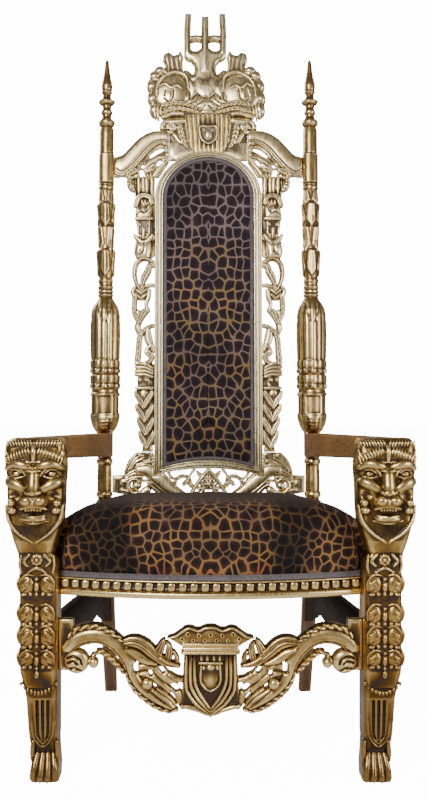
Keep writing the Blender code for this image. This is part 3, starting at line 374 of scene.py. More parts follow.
def gilding(name, hollow, low, middle, high, bump=0.12, blotch=0.45, foot=None, painted_shade_heights=None):
    """Leaf over brown size: four colours from the hollows to the raised edges, the dark of the hollows partly
    size and patina and partly painted shade, the pale of the edges partly abraded leaf and partly painted
    highlight; bare wood below the foot line, also darker in its hollows as painted shade; and darker, redder
    leaf below the given heights, painted as shade towards the floor."""
    finish, tree, shader = blank(name)
    relief = node(tree, "ShaderNodeAttribute", attribute_name="relief")
    wear_and_shade = node(tree, "ShaderNodeGroup")
    wear_and_shade.node_tree = WORN_AND_SHADED_LEAF
    wear_and_shade.inputs["Blotch scale"].default_value = 38.0
    wear_and_shade.inputs["Blotch strength"].default_value = blotch
    height = node(tree, "ShaderNodeBump", Strength=bump, Distance=0.0006)
    metal = spanned(tree, 0.1, 0.45, 0.35, 1.0)
    # Painted shade and highlight: the relief mask paints the hollows dark and the ridges pale, over real
    # size, patina and abrasion.
    colour = ramp(tree, wear_and_shade.outputs["Mask"], [(0.14, hollow), (0.35, low), (0.6, middle), (0.97, high)])
    metallic = metal.outputs["Result"]
    # Painted shade: below the given heights the leaf is multiplied darker and redder towards the floor.
    if painted_shade_heights:
        place, axes = node(tree, "ShaderNodeTexCoord"), node(tree, "ShaderNodeSeparateXYZ")
        fall = spanned(tree, *painted_shade_heights)
        shade = node(tree, "ShaderNodeMix", data_type="RGBA", blend_type="MULTIPLY")
        shade.inputs["Factor"].default_value = 1.0
        tone = ramp(tree, fall.outputs["Result"],
                    [(0.0, (0.46, 0.38, 0.3)), (0.35, (0.8, 0.7, 0.56)), (1.0, (1.0, 1.0, 1.0))])
        link(tree, [(place.outputs["Object"], axes.inputs[0]), (axes.outputs["Z"], fall.inputs["Value"]),
                    (colour, shade.inputs["A"]), (tone, shade.inputs["B"])])
        colour = shade.outputs["Result"]
    if foot:
        place, axes = node(tree, "ShaderNodeTexCoord"), node(tree, "ShaderNodeSeparateXYZ")
        line = spanned(tree, foot - 0.002, foot + 0.002)
        # Painted shade as well: the bare wood is darker in its hollows, by the same mask.
        bare = ramp(tree, wear_and_shade.outputs["Mask"], [(0.3, (0.06, 0.028, 0.011)), (0.75, (0.24, 0.125, 0.05))])
        mix = node(tree, "ShaderNodeMix", data_type="RGBA")
        less = node(tree, "ShaderNodeMath", operation="MULTIPLY")
        link(tree, [(place.outputs["Object"], axes.inputs[0]), (axes.outputs["Z"], line.inputs["Value"]),
                    (line.outputs["Result"], mix.inputs["Factor"]), (bare, mix.inputs["A"]),
                    (colour, mix.inputs["B"]), (metallic, less.inputs[0]),
                    (line.outputs["Result"], less.inputs[1])])
        colour, metallic = mix.outputs["Result"], less.outputs[0]
    link(tree, [(relief.outputs["Fac"], wear_and_shade.inputs["Relief"]), (colour, shader.inputs["Base Color"]),
                (wear_and_shade.outputs["Mask"], metal.inputs["Value"]), (metallic, shader.inputs["Metallic"]),
                (wear_and_shade.outputs["Roughness"], shader.inputs["Roughness"]),
                (wear_and_shade.outputs["Height"], height.inputs["Height"]),
                (height.outputs["Normal"], shader.inputs["Normal"])])
    return finish


AMBER_GILDING = gilding("amber_gilding", (0.034, 0.016, 0.005), (0.17, 0.088, 0.024), (0.36, 0.22, 0.066),
                        (0.8, 0.6, 0.27))
# The legs' leaf carries painted shade, darker and redder towards the floor.
LEG_GILDING = gilding("leg_gilding", (0.036, 0.017, 0.006), (0.17, 0.09, 0.024), (0.36, 0.222, 0.066),
                      (0.74, 0.55, 0.24), painted_shade_heights=(0.185, 0.56))


def placed(obj, slot, *nodes):
    """Hand a finished piece over: it rides on the throne and stands for its plain solids."""
    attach(obj, "root")
    if nodes:
        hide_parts(*nodes)
    return obj


def other_side(obj, name):
    """The mirror twin of a piece."""
    mesh = obj.data.copy()
    mesh.name = name
    mesh.transform(Matrix.Diagonal((-1, 1, 1, 1)))
    mesh.flip_normals()
    return stood(name, mesh)


def placed_twice(obj, twin_name, slot, node_stem):
    """A right-hand piece and its mirror twin, each for its own solid."""
    twin = other_side(obj, twin_name)
    placed(obj, slot, node_stem + "_right")
    placed(twin, slot, node_stem + "_left")


def lion_leg():
    """The right leg as a field, from the paw up to the parted forelock."""
    wood = Wood((0.296, -0.362, -0.008), (0.444, LEG_BACK + 0.006, ARM_TOP + 0.008), LEAF_STEP)
    back = LEG_BACK + 0.01
    face = LEG_FRONT + 0.014
    wood.trunk([
        (-0.01, PAW_X - 0.028, PAW_X + 0.029, LEG_FRONT + 0.012, back - 0.018, 0.01),
        (0.03, PAW_X - 0.0295, PAW_X + 0.0305, LEG_FRONT + 0.01, back - 0.016, 0.01),
        (0.06, PAW_X - 0.0265, PAW_X + 0.0275, LEG_FRONT + 0.022, back - 0.012, 0.012),
        (0.082, LEG_INNER, PAW_X + 0.033, LEG_FRONT + 0.016, back - 0.01, 0.01),
        (0.1, LEG_INNER, PAW_X + 0.035, LEG_FRONT + 0.014, back, 0.008),
        (0.176, LEG_INNER, PAW_X + 0.0395, LEG_FRONT + 0.01, back, 0.008),
        (0.2, LEG_INNER, PAW_X + 0.045, LEG_FRONT + 0.012, back, 0.009),
        (0.232, LEG_INNER, LEG_OUTER - 0.006, LEG_FRONT + 0.01, back, 0.01),
        (0.455, LEG_INNER, LEG_OUTER - 0.005, LEG_FRONT + 0.011, back, 0.01),
        (0.48, HEAD_X - 0.038, HEAD_X + 0.0365, face + 0.001, back, 0.012),
        (0.505, HEAD_X - 0.045, HEAD_X + 0.0455, face - 0.002, back, 0.014),
        (0.54, HEAD_X - 0.056, HEAD_X + 0.056, face, back, 0.016),
        (0.58, HEAD_X - 0.059, HEAD_X + 0.059, face + 0.004, back, 0.016),
        (0.64, HEAD_X - 0.0605, HEAD_X + 0.0605, face + 0.004, back, 0.014),
        (0.69, HEAD_X - 0.0605, HEAD_X + 0.0605, face - 0.002, back, 0.014),
        (0.712, HEAD_X - 0.059, HEAD_X + 0.059, face, back, 0.018),
        (ARM_TOP - 0.001, HEAD_X - 0.053, HEAD_X + 0.053, face + 0.01, back, 0.02),
    ])
    lion_mask(wood, face)
    garland(wood)
    shank_and_paw(wood)
    wood.trim(0, 0.4328, 1)
    wood.trim(1, LEG_BACK, 1)
    wood.trim(2, 0.0, -1)
    return wood


def lion_mask(wood, face):
    """Combed forelock, knotted brow over sunken eyes, broad nose, cheek bands, muzzle with teeth and mane."""
    x0 = HEAD_X
    wood.lump((x0, face + 0.004, 0.68), (0.056, 0.015, 0.026), 0.006)
    wood.roll([(x0, face - 0.007, 0.705, 0.004), (x0, face - 0.012, 0.691, 0.0052),
               (x0, face - 0.0115, 0.672, 0.003)], 0.002)
    wood.roll([(x0, face - 0.008, 0.654, 0.011), (x0, face - 0.012, 0.632, 0.012),
               (x0, face - 0.016, 0.614, 0.0125)], 0.005)
    wood.lump((x0, face - 0.0215, 0.6075), (0.014, 0.0085, 0.0068), 0.002)
    wood.lump((x0, face - 0.008, 0.59), (0.031, 0.017, 0.019), 0.004)
    wood.lump((x0, face - 0.02, 0.5895), (0.0048, 0.008, 0.008), 0.001)
    wood.lump((x0, face - 0.006, 0.553), (0.027, 0.013, 0.008), 0.003)
    for turn in (-1, 1):

        def spot(x, y, z, *rest):
            return (x0 + turn * x, face + y, z, *rest)

        wood.roll([spot(0.005, -0.01, 0.659, 0.005), spot(0.024, -0.011, 0.6655, 0.0078),
                   spot(0.042, -0.006, 0.667, 0.0075), spot(0.0585, 0.005, 0.658, 0.005)], 0.004)
        wood.lump(spot(0.037, -0.004, 0.6465), (0.0175, 0.01, 0.0085), 0.003, cut=True)
        wood.lump(spot(0.0365, 0.001, 0.6465), (0.0092, 0.0068, 0.0064), 0.001)
        wood.lump(spot(0.0365, -0.0064, 0.647), (0.0021, 0.002, 0.0021), 0.0005, cut=True)
        wood.roll([spot(0.048, -0.004, 0.6545, 0.0016), spot(0.036, -0.009, 0.6565, 0.0022),
                   spot(0.025, -0.01, 0.6495, 0.002)], 0.001)
        wood.roll([spot(0.04, -0.009, 0.661, 0.0016), spot(0.0285, -0.013, 0.659, 0.002),
                   spot(0.0185, -0.013, 0.649, 0.0022), spot(0.016, -0.013, 0.642, 0.0014)], 0.001)
        wood.roll([spot(0.02, -0.008, 0.642, 0.0016), spot(0.035, -0.0075, 0.6385, 0.002),
                   spot(0.051, -0.002, 0.642, 0.0014)], 0.001)
        wood.roll([spot(0.0, -0.02, 0.6505, 0.002), spot(0.008, -0.0195, 0.6535, 0.0024),
                   spot(0.0165, -0.016, 0.653, 0.0014)], 0.001)
        wood.roll([spot(0.0035, -0.013, 0.67, 0.0012), spot(0.012, -0.0125, 0.6725, 0.002),
                   spot(0.022, -0.012, 0.6725, 0.0012)], 0.001)
        wood.roll([spot(0.017, -0.009, 0.613, 0.006), spot(0.033, -0.005, 0.623, 0.0092),
                   spot(0.046, 0.001, 0.628, 0.0098), spot(0.0535, 0.01, 0.63, 0.008)], 0.005)
        wood.lump(spot(0.044, -0.003, 0.6025), (0.0165, 0.012, 0.011), 0.003, cut=True)
        wood.lump(spot(0.0125, -0.018, 0.6085), (0.0058, 0.0068, 0.005), 0.0015)
        wood.lump(spot(0.0062, -0.029, 0.604), (0.0024, 0.003, 0.0018), 0.001, cut=True)
        wood.lump(spot(0.014, -0.0165, 0.591), (0.013, 0.0115, 0.0105), 0.002)
        wood.roll([spot(0.0, -0.018, 0.579, 0.0026), spot(0.013, -0.016, 0.5785, 0.0034),
                   spot(0.027, -0.007, 0.573, 0.0028)], 0.001)
        wood.roll([spot(0.029, -0.01, 0.6, 0.0018), spot(0.032, -0.006, 0.58, 0.0022),
                   spot(0.029, -0.007, 0.558, 0.0018)], 0.0015, cut=True)
        wood.lump(spot(0.0475, 0.0, 0.586), (0.009, 0.01, 0.0082), 0.002)
        wood.lump(spot(0.0455, -0.001, 0.57), (0.0105, 0.0105, 0.008), 0.002)
        for k in range(3):
            wood.lump(spot(0.003 + 0.006 * k, -0.015 + 0.0012 * k, 0.5715), (0.0025, 0.0036, 0.0042),
                      0.0008)
            wood.roll([spot(0.008 + 0.0045 * k, -0.03 + 0.0015 * k, 0.5935, 0.0006),
                       spot(0.012 + 0.0045 * k, -0.0275 + 0.0015 * k, 0.588, 0.0006)], 0.0005, cut=True)
        for k in range(9):
            start = 0.0055 + 0.0062 * k
            wood.roll([spot(start + 0.003, 0.004, 0.7185, 0.0012),
                       spot(start + 0.001, -0.0015, 0.712, 0.002),
                       spot(start - 0.0015, -0.003, 0.705, 0.0012)], 0.0008)
        for k in range(9):
            start, drop = 0.011 + 0.006 * k, 0.0012 * k + 0.00014 * k * k
            dip = 0.00009 * k * k
            wood.roll([spot(start + 0.002, -0.004 + dip, 0.7045 - drop, 0.0013),
                       spot(start - 0.0005, -0.0085 + dip, 0.695 - drop, 0.0024),
                       spot(start - 0.0045, -0.0095 + dip, 0.683 - drop, 0.0012)], 0.0008)
        for k in range(3):
            wood.roll([spot(0.06, 0.002 + 0.004 * k, 0.696 - 0.009 * k, 0.0018),
                       spot(0.056, -0.0005 + 0.004 * k, 0.683 - 0.009 * k, 0.0024),
                       spot(0.048, -0.002 + 0.003 * k, 0.672 - 0.008 * k, 0.0014)], 0.001)
        for k in range(5):
            drop = 0.69 - 0.0035 * k
            wood.roll([(x0 + turn * 0.0585, face + 0.006 + 0.012 * k, drop + 0.018, 0.0022),
                       (x0 + turn * 0.0608, face + 0.01 + 0.012 * k, drop - 0.012, 0.003),
                       (x0 + turn * 0.0595, face + 0.016 + 0.012 * k, drop - 0.044, 0.0018)], 0.0015)
        for k in range(4):
            wood.roll([spot(0.06 - 0.0005 * k, 0.002 + 0.01 * k, 0.58, 0.0022),
                       spot(0.053 + 0.001 * k, -0.001 + 0.009 * k, 0.548, 0.0036),
                       spot(0.033 + 0.004 * k, -0.003 + 0.008 * k, 0.523, 0.0034),
                       spot(0.004 + 0.011 * k, -0.001 + 0.006 * k, 0.503 - 0.002 * k, 0.002)], 0.0012)
    wood.lump((x0, face - 0.016, 0.5655), (0.0225, 0.0105, 0.004), 0.0012, cut=True)
    wood.roll([(x0 - 0.022, face - 0.009, 0.559, 0.0026), (x0, face - 0.0165, 0.556, 0.004),
               (x0 + 0.022, face - 0.009, 0.559, 0.0026)], 0.001)
    wood.roll([(x0 - 0.029, face - 0.001, 0.5475, 0.0016), (x0, face - 0.0125, 0.544, 0.0026),
               (x0 + 0.029, face - 0.001, 0.5475, 0.0016)], 0.001)


def garland(wood):
    """Rosette at the neck, then a string of drops between pairs of broad leaves, and a swag of beads."""
    middle = (LEG_INNER + LEG_OUTER) / 2 - 0.001
    front = LEG_FRONT + 0.011
    for petal in range(8):
        angle = 2 * math.pi * petal / 8
        wood.lump((middle + 0.0085 * math.cos(angle), front - 0.002, 0.467 + 0.0085 * math.sin(angle)),
                  (0.0044, 0.0045, 0.0044), 0.0008)
    wood.lump((middle, front - 0.004, 0.467), (0.0042, 0.0042, 0.0042), 0.0008)
    wood.roll([(middle - 0.02, front - 0.001, 0.44, 0.0022), (middle, front - 0.005, 0.4505, 0.003),
               (middle + 0.02, front - 0.001, 0.44, 0.0022)], 0.001)
    for turn in (-1, 1):
        wood.roll([(middle + turn * 0.016, front - 0.002, 0.478, 0.003),
                   (middle + turn * 0.027, front - 0.001, 0.464, 0.0036),
                   (middle + turn * 0.019, front - 0.003, 0.454, 0.0024)], 0.001)
        wood.roll([(middle + turn * 0.034, front + 0.001, 0.476, 0.0022),
                   (middle + turn * 0.036, front, 0.456, 0.0032),
                   (middle + turn * 0.033, front + 0.001, 0.44, 0.002)], 0.001)
    tiers = ((0.414, 0.04), (0.352, 0.04), (0.305, 0.042), (0.259, 0.034))
    for level, tall in tiers:
        for turn in (-1, 1):
            wood.lump((middle + turn * 0.0205, front, level), (0.015, 0.0075, tall * 0.5), 0.0015)
            wood.roll([(middle + turn * 0.007, front - 0.003, level + 0.5 * tall, 0.0014),
                       (middle + turn * 0.022, front - 0.0045, level + 0.56 * tall, 0.0024),
                       (middle + turn * 0.0345, front - 0.001, level + 0.2 * tall, 0.0028),
                       (middle + turn * 0.0345, front, level - 0.3 * tall, 0.0018)], 0.001)
            wood.roll([(middle + turn * 0.011, front - 0.007, level + 0.36 * tall, 0.001),
                       (middle + turn * 0.021, front - 0.0085, level, 0.0014),
                       (middle + turn * 0.025, front - 0.006, level - 0.42 * tall, 0.0008)], 0.0008,
                      cut=True)
            for k in (-1, 0, 1):
                wood.roll([(middle + turn * 0.018, front - 0.006, level + (0.1 + 0.24 * k) * tall, 0.0008),
                           (middle + turn * 0.03, front - 0.004, level + (0.24 * k - 0.08) * tall, 0.001)],
                          0.0008, cut=True)
            wood.lump((middle + turn * 0.027, front - 0.0025, level - 0.48 * tall), (0.007, 0.0052, 0.0038),
                      0.001)
            wood.lump((middle + turn * 0.013, front - 0.003, level - 0.46 * tall), (0.0045, 0.0045, 0.0045),
                      0.001)
        wood.lump((middle, front - 0.0035, level - 0.003), (0.0056, 0.007, 0.011), 0.001)
        wood.lump((middle, front - 0.0045, level + 0.0135), (0.0042, 0.005, 0.0042), 0.0008)
        wood.lump((middle, front - 0.0035, level - 0.0185), (0.004, 0.0046, 0.004), 0.0008)
        for along in (0.02, 0.044, 0.066):
            side = LEG_OUTER - 0.0065
            y = LEG_FRONT + along
            for k in (-1, 0, 1):
                wood.roll([(side, y + 0.003 * k, level + 0.02, 0.0022),
                           (side + 0.004, y + 0.007 * k, level + 0.004, 0.0034),
                           (side + 0.001, y + 0.009 * k, level - 0.016 + 0.003 * abs(k), 0.0015)], 0.001)
    wood.lump((middle, front - 0.003, 0.227), (0.0058, 0.0055, 0.009), 0.001)
    drape = 11
    for k in range(drape):
        share = 2 * k / (drape - 1) - 1
        x = middle - 0.003 + share * 0.037
        z = 0.2065 - 0.02 * (1 - share ** 2)
        wood.lump((x, front + 0.001 + 0.004 * share ** 2, z), (0.0034, 0.0042, 0.005), 0.0008)


def shank_and_paw(wood):
    """Sunk flutes that end in a double U, and a paw with four toes, claws and side locks."""
    front = LEG_FRONT + 0.014
    x0 = PAW_X + 0.0045
    for scale, radius in ((1.0, 0.002), (0.62, 0.0016)):
        left = [(x0 - 0.024 * scale, front - 0.001, 0.172, radius),
                (x0 - 0.0225 * scale, front, 0.12, radius),
                (x0 - 0.0175 * scale, front + 0.001, 0.092 + 0.008 * (1 - scale), radius),
                (x0, front + 0.002, 0.074 + 0.018 * (1 - scale), radius * 1.2)]
        right = [(2 * x0 - x, y, z, r) for x, y, z, r in left[::-1]]
        wood.roll(left + right[1:], 0.001)
    for x in (-0.0115, 0.0, 0.0115):
        wood.roll([(x0 + x, front - 0.001, 0.17, 0.0032), (x0 + x * 0.9, front, 0.105, 0.0028),
                   (x0 + x * 0.5, front + 0.002, 0.09, 0.0016)], 0.0012, cut=True)
    for turn in (-1, 1):
        wood.roll([(PAW_X + turn * 0.025, front + 0.003, 0.084, 0.0046),
                   (PAW_X + turn * 0.0265, front + 0.002, 0.062, 0.005),
                   (PAW_X + turn * 0.0255, front + 0.003, 0.044, 0.004)], 0.0015)
    for k in range(4):
        toe = -0.0222 + 0.0148 * k
        outer = abs(toe) > 0.01
        wood.roll([(PAW_X + toe * 0.75, front + 0.006, 0.058, 0.006),
                   (PAW_X + toe * 0.95, front - 0.006, 0.034, 0.0072),
                   (PAW_X + toe * 1.02, front - (0.009 if outer else 0.013), 0.014, 0.008)], 0.0015)
        wood.lump((PAW_X + toe * 1.04, front - (0.013 if outer else 0.017), 0.0085), (0.0034, 0.005, 0.004),
                  0.001)


leg = lion_leg()
leg_points, leg_faces = surface_of(leg.field, leg.low, leg.step)
lion_right = made("lion_leg_right", leg_points, leg_faces, LEG_GILDING)
thinned(lion_right, 112000)
marked_for_wear_and_shade(lion_right, 0.0011)
placed_twice(lion_right, "lion_leg_left", "gilding", "front_leg")

# Arms. Plain boards of brown-stained wood with softened edges, let into the back of each mane.
LEAN = math.tan(math.radians(3.5))
BACK_FOOT = 0.1166
JOINT_GAP = 0.0003
ARM_REAR = (0.25, 0.305)
ARM_FRONT = (0.3425, 0.3975)


def back_y(z):
    return BACK_FOOT + z * LEAN


def stained(name, dark, light, scale, rough, metal, shine):
    """Brown-stained wood with a fine grain along the piece."""
    finish, tree, shader = blank(name)
    place, stretch = node(tree, "ShaderNodeTexCoord"), node(tree, "ShaderNodeMapping")
    stretch.inputs["Scale"].default_value = scale
    grain = node(tree, "ShaderNodeTexNoise", Scale=6.0, Detail=6.0, Roughness=0.65)
    patch = node(tree, "ShaderNodeTexNoise", Scale=9.0, Detail=2.0)
    blend = node(tree, "ShaderNodeMath", operation="MULTIPLY_ADD")
    blend.inputs[1].default_value = 0.45
    height = node(tree, "ShaderNodeBump", Strength=0.25, Distance=0.0006)
    shader.inputs["Roughness"].default_value = rough
    shader.inputs["Metallic"].default_value = metal
    shader.inputs["Specular IOR Level"].default_value = shine
    link(tree, [(place.outputs["Object"], stretch.inputs["Vector"]),
                (stretch.outputs["Vector"], grain.inputs["Vector"]),
                (place.outputs["Object"], patch.inputs["Vector"]), (patch.outputs["Fac"], blend.inputs[0]),
                (grain.outputs["Fac"], blend.inputs[2]),
                (ramp(tree, blend.outputs[0], [(0.52, dark), (0.92, light)]), shader.inputs["Base Color"]),
                (grain.outputs["Fac"], height.inputs["Height"]),
                (height.outputs["Normal"], shader.inputs["Normal"])])
    return finish


BROWN_WOOD = stained("brown_wood", (0.11, 0.046, 0.014), (0.43, 0.215, 0.068), (40.0, 5.0, 60.0), 0.42,
                     0.25, 0.5)
# Dark brown stain deepened by painted shade, for the boards low under the seat.
SHADED_WOOD = stained("shaded_wood", (0.012, 0.005, 0.0025), (0.062, 0.027, 0.011), (30.0, 6.0, 30.0), 0.6, 0.0,
                    0.18)


def arm():
    """The right arm as rounded sections from the lion to the post."""
    points, steps, corner = [], 40, 0.005
    for k in range(steps + 1):
        t = k / steps
        low = ARM_TOP - 0.048 - 0.012 * t
        y = LEG_BACK + 0.0004 + t * (back_y(0.7) - 0.0208 - LEG_BACK - 0.0008)
        x0, x1 = (ARM_FRONT[n] + (ARM_REAR[n] - ARM_FRONT[n]) * t for n in (0, 1))
        for cx, cz, start in ((x1 - corner, ARM_TOP - 0.0004 - corner, 0.0),
                              (x0 + corner, ARM_TOP - 0.0004 - corner, 0.5),
                              (x0 + corner, low + corner, 1.0), (x1 - corner, low + corner, 1.5)):
            for n in range(5):
                angle = math.pi * (start + n / 8)
                points.append((cx + corner * math.cos(angle), y + (cz - ARM_TOP) * LEAN * t,
                               cz + corner * math.sin(angle)))
    return points, 20


def facing_out(obj, ends=0):
    """Close ends of so many sides, and turn every face outwards."""
    bm = bmesh.new()
    bm.from_mesh(obj.data)
    if ends:
        bmesh.ops.holes_fill(bm, edges=[e for e in bm.edges if e.is_boundary], sides=ends)
    bmesh.ops.recalc_face_normals(bm, faces=bm.faces)
    bm.to_mesh(obj.data)
    bm.free()


def tube(name, points, around, finish, caps=True):
    """Faces for rings of points laid one after another."""
    count = len(points) // around
    base = np.arange(count - 1)[:, None] * around + np.arange(around)[None, :]
    turn = np.arange(count - 1)[:, None] * around + (np.arange(around)[None, :] + 1) % around
    faces = np.stack([base, turn, turn + around, base + around], -1).reshape(-1, 4)
    obj = made(name, np.array(points), faces, finish)
    facing_out(obj, around if caps else 0)
    obj.data.shade_smooth()
    return obj


arm_right = tube("arm_board_right", *arm(), BROWN_WOOD)
placed_twice(arm_right, "arm_board_left", "brown_gilding", "arm")

# Back posts. A square leg kicks back below the seat; above it the post is turned: a reeded bulb with leaf
# tips and beads over a framed panel, a shaft wrapped in long leaves, a square block that takes the bracket,
# and a spire of rings. Gilded amber, brightest on the reeds, partly abraded leaf and partly painted
# highlight, with painted shade in the hollows.
POST_X = 0.2705
POST_AROUND = 72


def post_y(z):
    share = np.maximum(0.0, 0.52 - z) / 0.52
    return back_y(z) + (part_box("back_post_right")[1].y - 0.0165 - BACK_FOOT) * share ** 1.15


def post_profile():
    """Rows of (height, half width, squareness)."""
    return np.array([(0.0, 0.0165, 9), (0.2, 0.0185, 9), (0.338, 0.0192, 9), (0.387, 0.0203, 9),
                     (0.547, 0.0203, 9), (0.548, 0.0195, 5), (0.551, 0.0168, 2), (0.555, 0.0172, 2),
                     (0.559, 0.0208, 2), (0.564, 0.0215, 2), (0.569, 0.0203, 2), (0.572, 0.0184, 2),
                     (0.576, 0.0187, 2), (0.6, 0.019, 2), (0.638, 0.018, 2), (0.641, 0.0184, 2),
                     (0.644, 0.0206, 2), (0.649, 0.0215, 2), (0.654, 0.0206, 2), (0.657, 0.0178, 2),
                     (0.661, 0.019, 4), (0.6635, 0.0203, 9), (0.722, 0.0203, 9), (0.724, 0.021, 4),
                     (0.73, 0.027, 2), (0.74, 0.0325, 2), (0.752, 0.0365, 2), (0.764, 0.0388, 2),
                     (0.768, 0.0394, 2), (0.77, 0.0386, 2), (0.773, 0.0384, 2), (0.82, 0.0386, 2),
                     (0.8235, 0.0394, 2), (0.826, 0.039, 2), (0.829, 0.0355, 2), (0.835, 0.035, 2),
                     (0.8385, 0.0372, 2), (0.842, 0.0375, 2), (0.847, 0.0378, 2), (0.864, 0.0382, 2),
                     (0.872, 0.0378, 2), (0.8745, 0.0352, 2), (0.8775, 0.035, 2), (0.88, 0.037, 2),
                     (0.885, 0.0376, 2), (0.902, 0.038, 2), (0.91, 0.0376, 2), (0.913, 0.0366, 2),
                     (0.92, 0.0374, 2), (0.97, 0.0384, 2), (1.01, 0.0384, 2), (1.03, 0.0376, 2),
                     (1.045, 0.035, 2), (1.058, 0.03, 2), (1.068, 0.0235, 2), (1.074, 0.0198, 2),
                     (1.079, 0.0182, 2), (1.082, 0.02, 2), (1.086, 0.0212, 2), (1.0885, 0.0175, 2),
                     (1.0915, 0.0205, 2), (1.095, 0.0205, 2), (1.098, 0.0182, 2), (1.102, 0.0196, 2),
                     (1.106, 0.0204, 2), (1.11, 0.0186, 2), (1.116, 0.0184, 2), (1.12, 0.0198, 2),
                     (1.125, 0.0192, 2), (1.13, 0.018, 2), (1.16, 0.0196, 2), (1.2, 0.0216, 2),
                     (1.206, 0.019, 2), (1.23, 0.0184, 2), (1.262, 0.0216, 2), (1.27, 0.019, 2),
                     (1.295, 0.0186, 2), (1.324, 0.0212, 2), (1.33, 0.0186, 2), (1.36, 0.0178, 2),
                     (1.365, 0.019, 2), (1.369, 0.0204, 2), (1.373, 0.0206, 2), (1.376, 0.019, 2),
                     (1.38, 0.0204, 2), (1.382, 0.0206, 2), (1.3835, 0.0186, 2), (1.3855, 0.0203, 2.5),
                     (1.46, 0.0203, 2.5), (1.4622, 0.018, 2), (1.4645, 0.0188, 2), (1.49, 0.0188, 2),
                     (1.518, 0.0188, 2), (1.53, 0.0178, 2), (1.535, 0.015, 2), (1.539, 0.019, 2),
                     (1.544, 0.0215, 2), (1.549, 0.0214, 2), (1.553, 0.019, 2), (1.557, 0.0135, 2),
                     (1.562, 0.012, 2), (1.568, 0.0124, 2), (1.572, 0.015, 2), (1.576, 0.0156, 2),
                     (1.58, 0.0128, 2), (1.586, 0.0112, 2), (1.594, 0.0126, 2), (1.598, 0.0196, 2),
                     (1.602, 0.0222, 2), (1.606, 0.0214, 2), (1.609, 0.015, 2), (1.614, 0.0112, 2),
                     (1.622, 0.0106, 2), (1.627, 0.013, 2), (1.63, 0.0146, 2), (1.634, 0.013, 2),
                     (1.638, 0.0142, 2), (1.647, 0.0148, 2), (1.656, 0.0134, 2), (1.67, 0.01, 2),
                     (1.69, 0.0072, 2), (1.708, 0.0054, 2), (1.713, 0.0048, 2), (1.7165, 0.003, 2)])


def lobes(angle, count, turn=0.0):
    """Rounded ribs round the post: 0 in the grooves, 1 on the ribs."""
    return np.abs(np.cos((angle + turn) * count / 2)) ** 0.8


def band(z, low, high, soft=0.003):
    """One between two heights, fading out beyond them."""
    return np.clip(np.minimum(z - low, high - z) / soft + 0.5, 0, 1)


def wrapping_leaves(angle, z, low, high, count, turn):
    """Long leaves that hug the shaft: raised tips that end in points, with a mid rib."""
    share = np.clip((z - low) / (high - low), 0, 1)
    centred = (angle + turn) * count / (2 * np.pi)
    across = np.abs(centred - np.round(centred)) * 2
    width = np.clip(share * 3.2, 0, 1) * (1 - 0.45 * share)
    leaf = np.clip((width - across) / 0.16, 0, 1)
    return (leaf * 0.003 + 0.0014 * np.exp(-(across / 0.12) ** 2) * leaf) * band(z, low, high, 0.004)


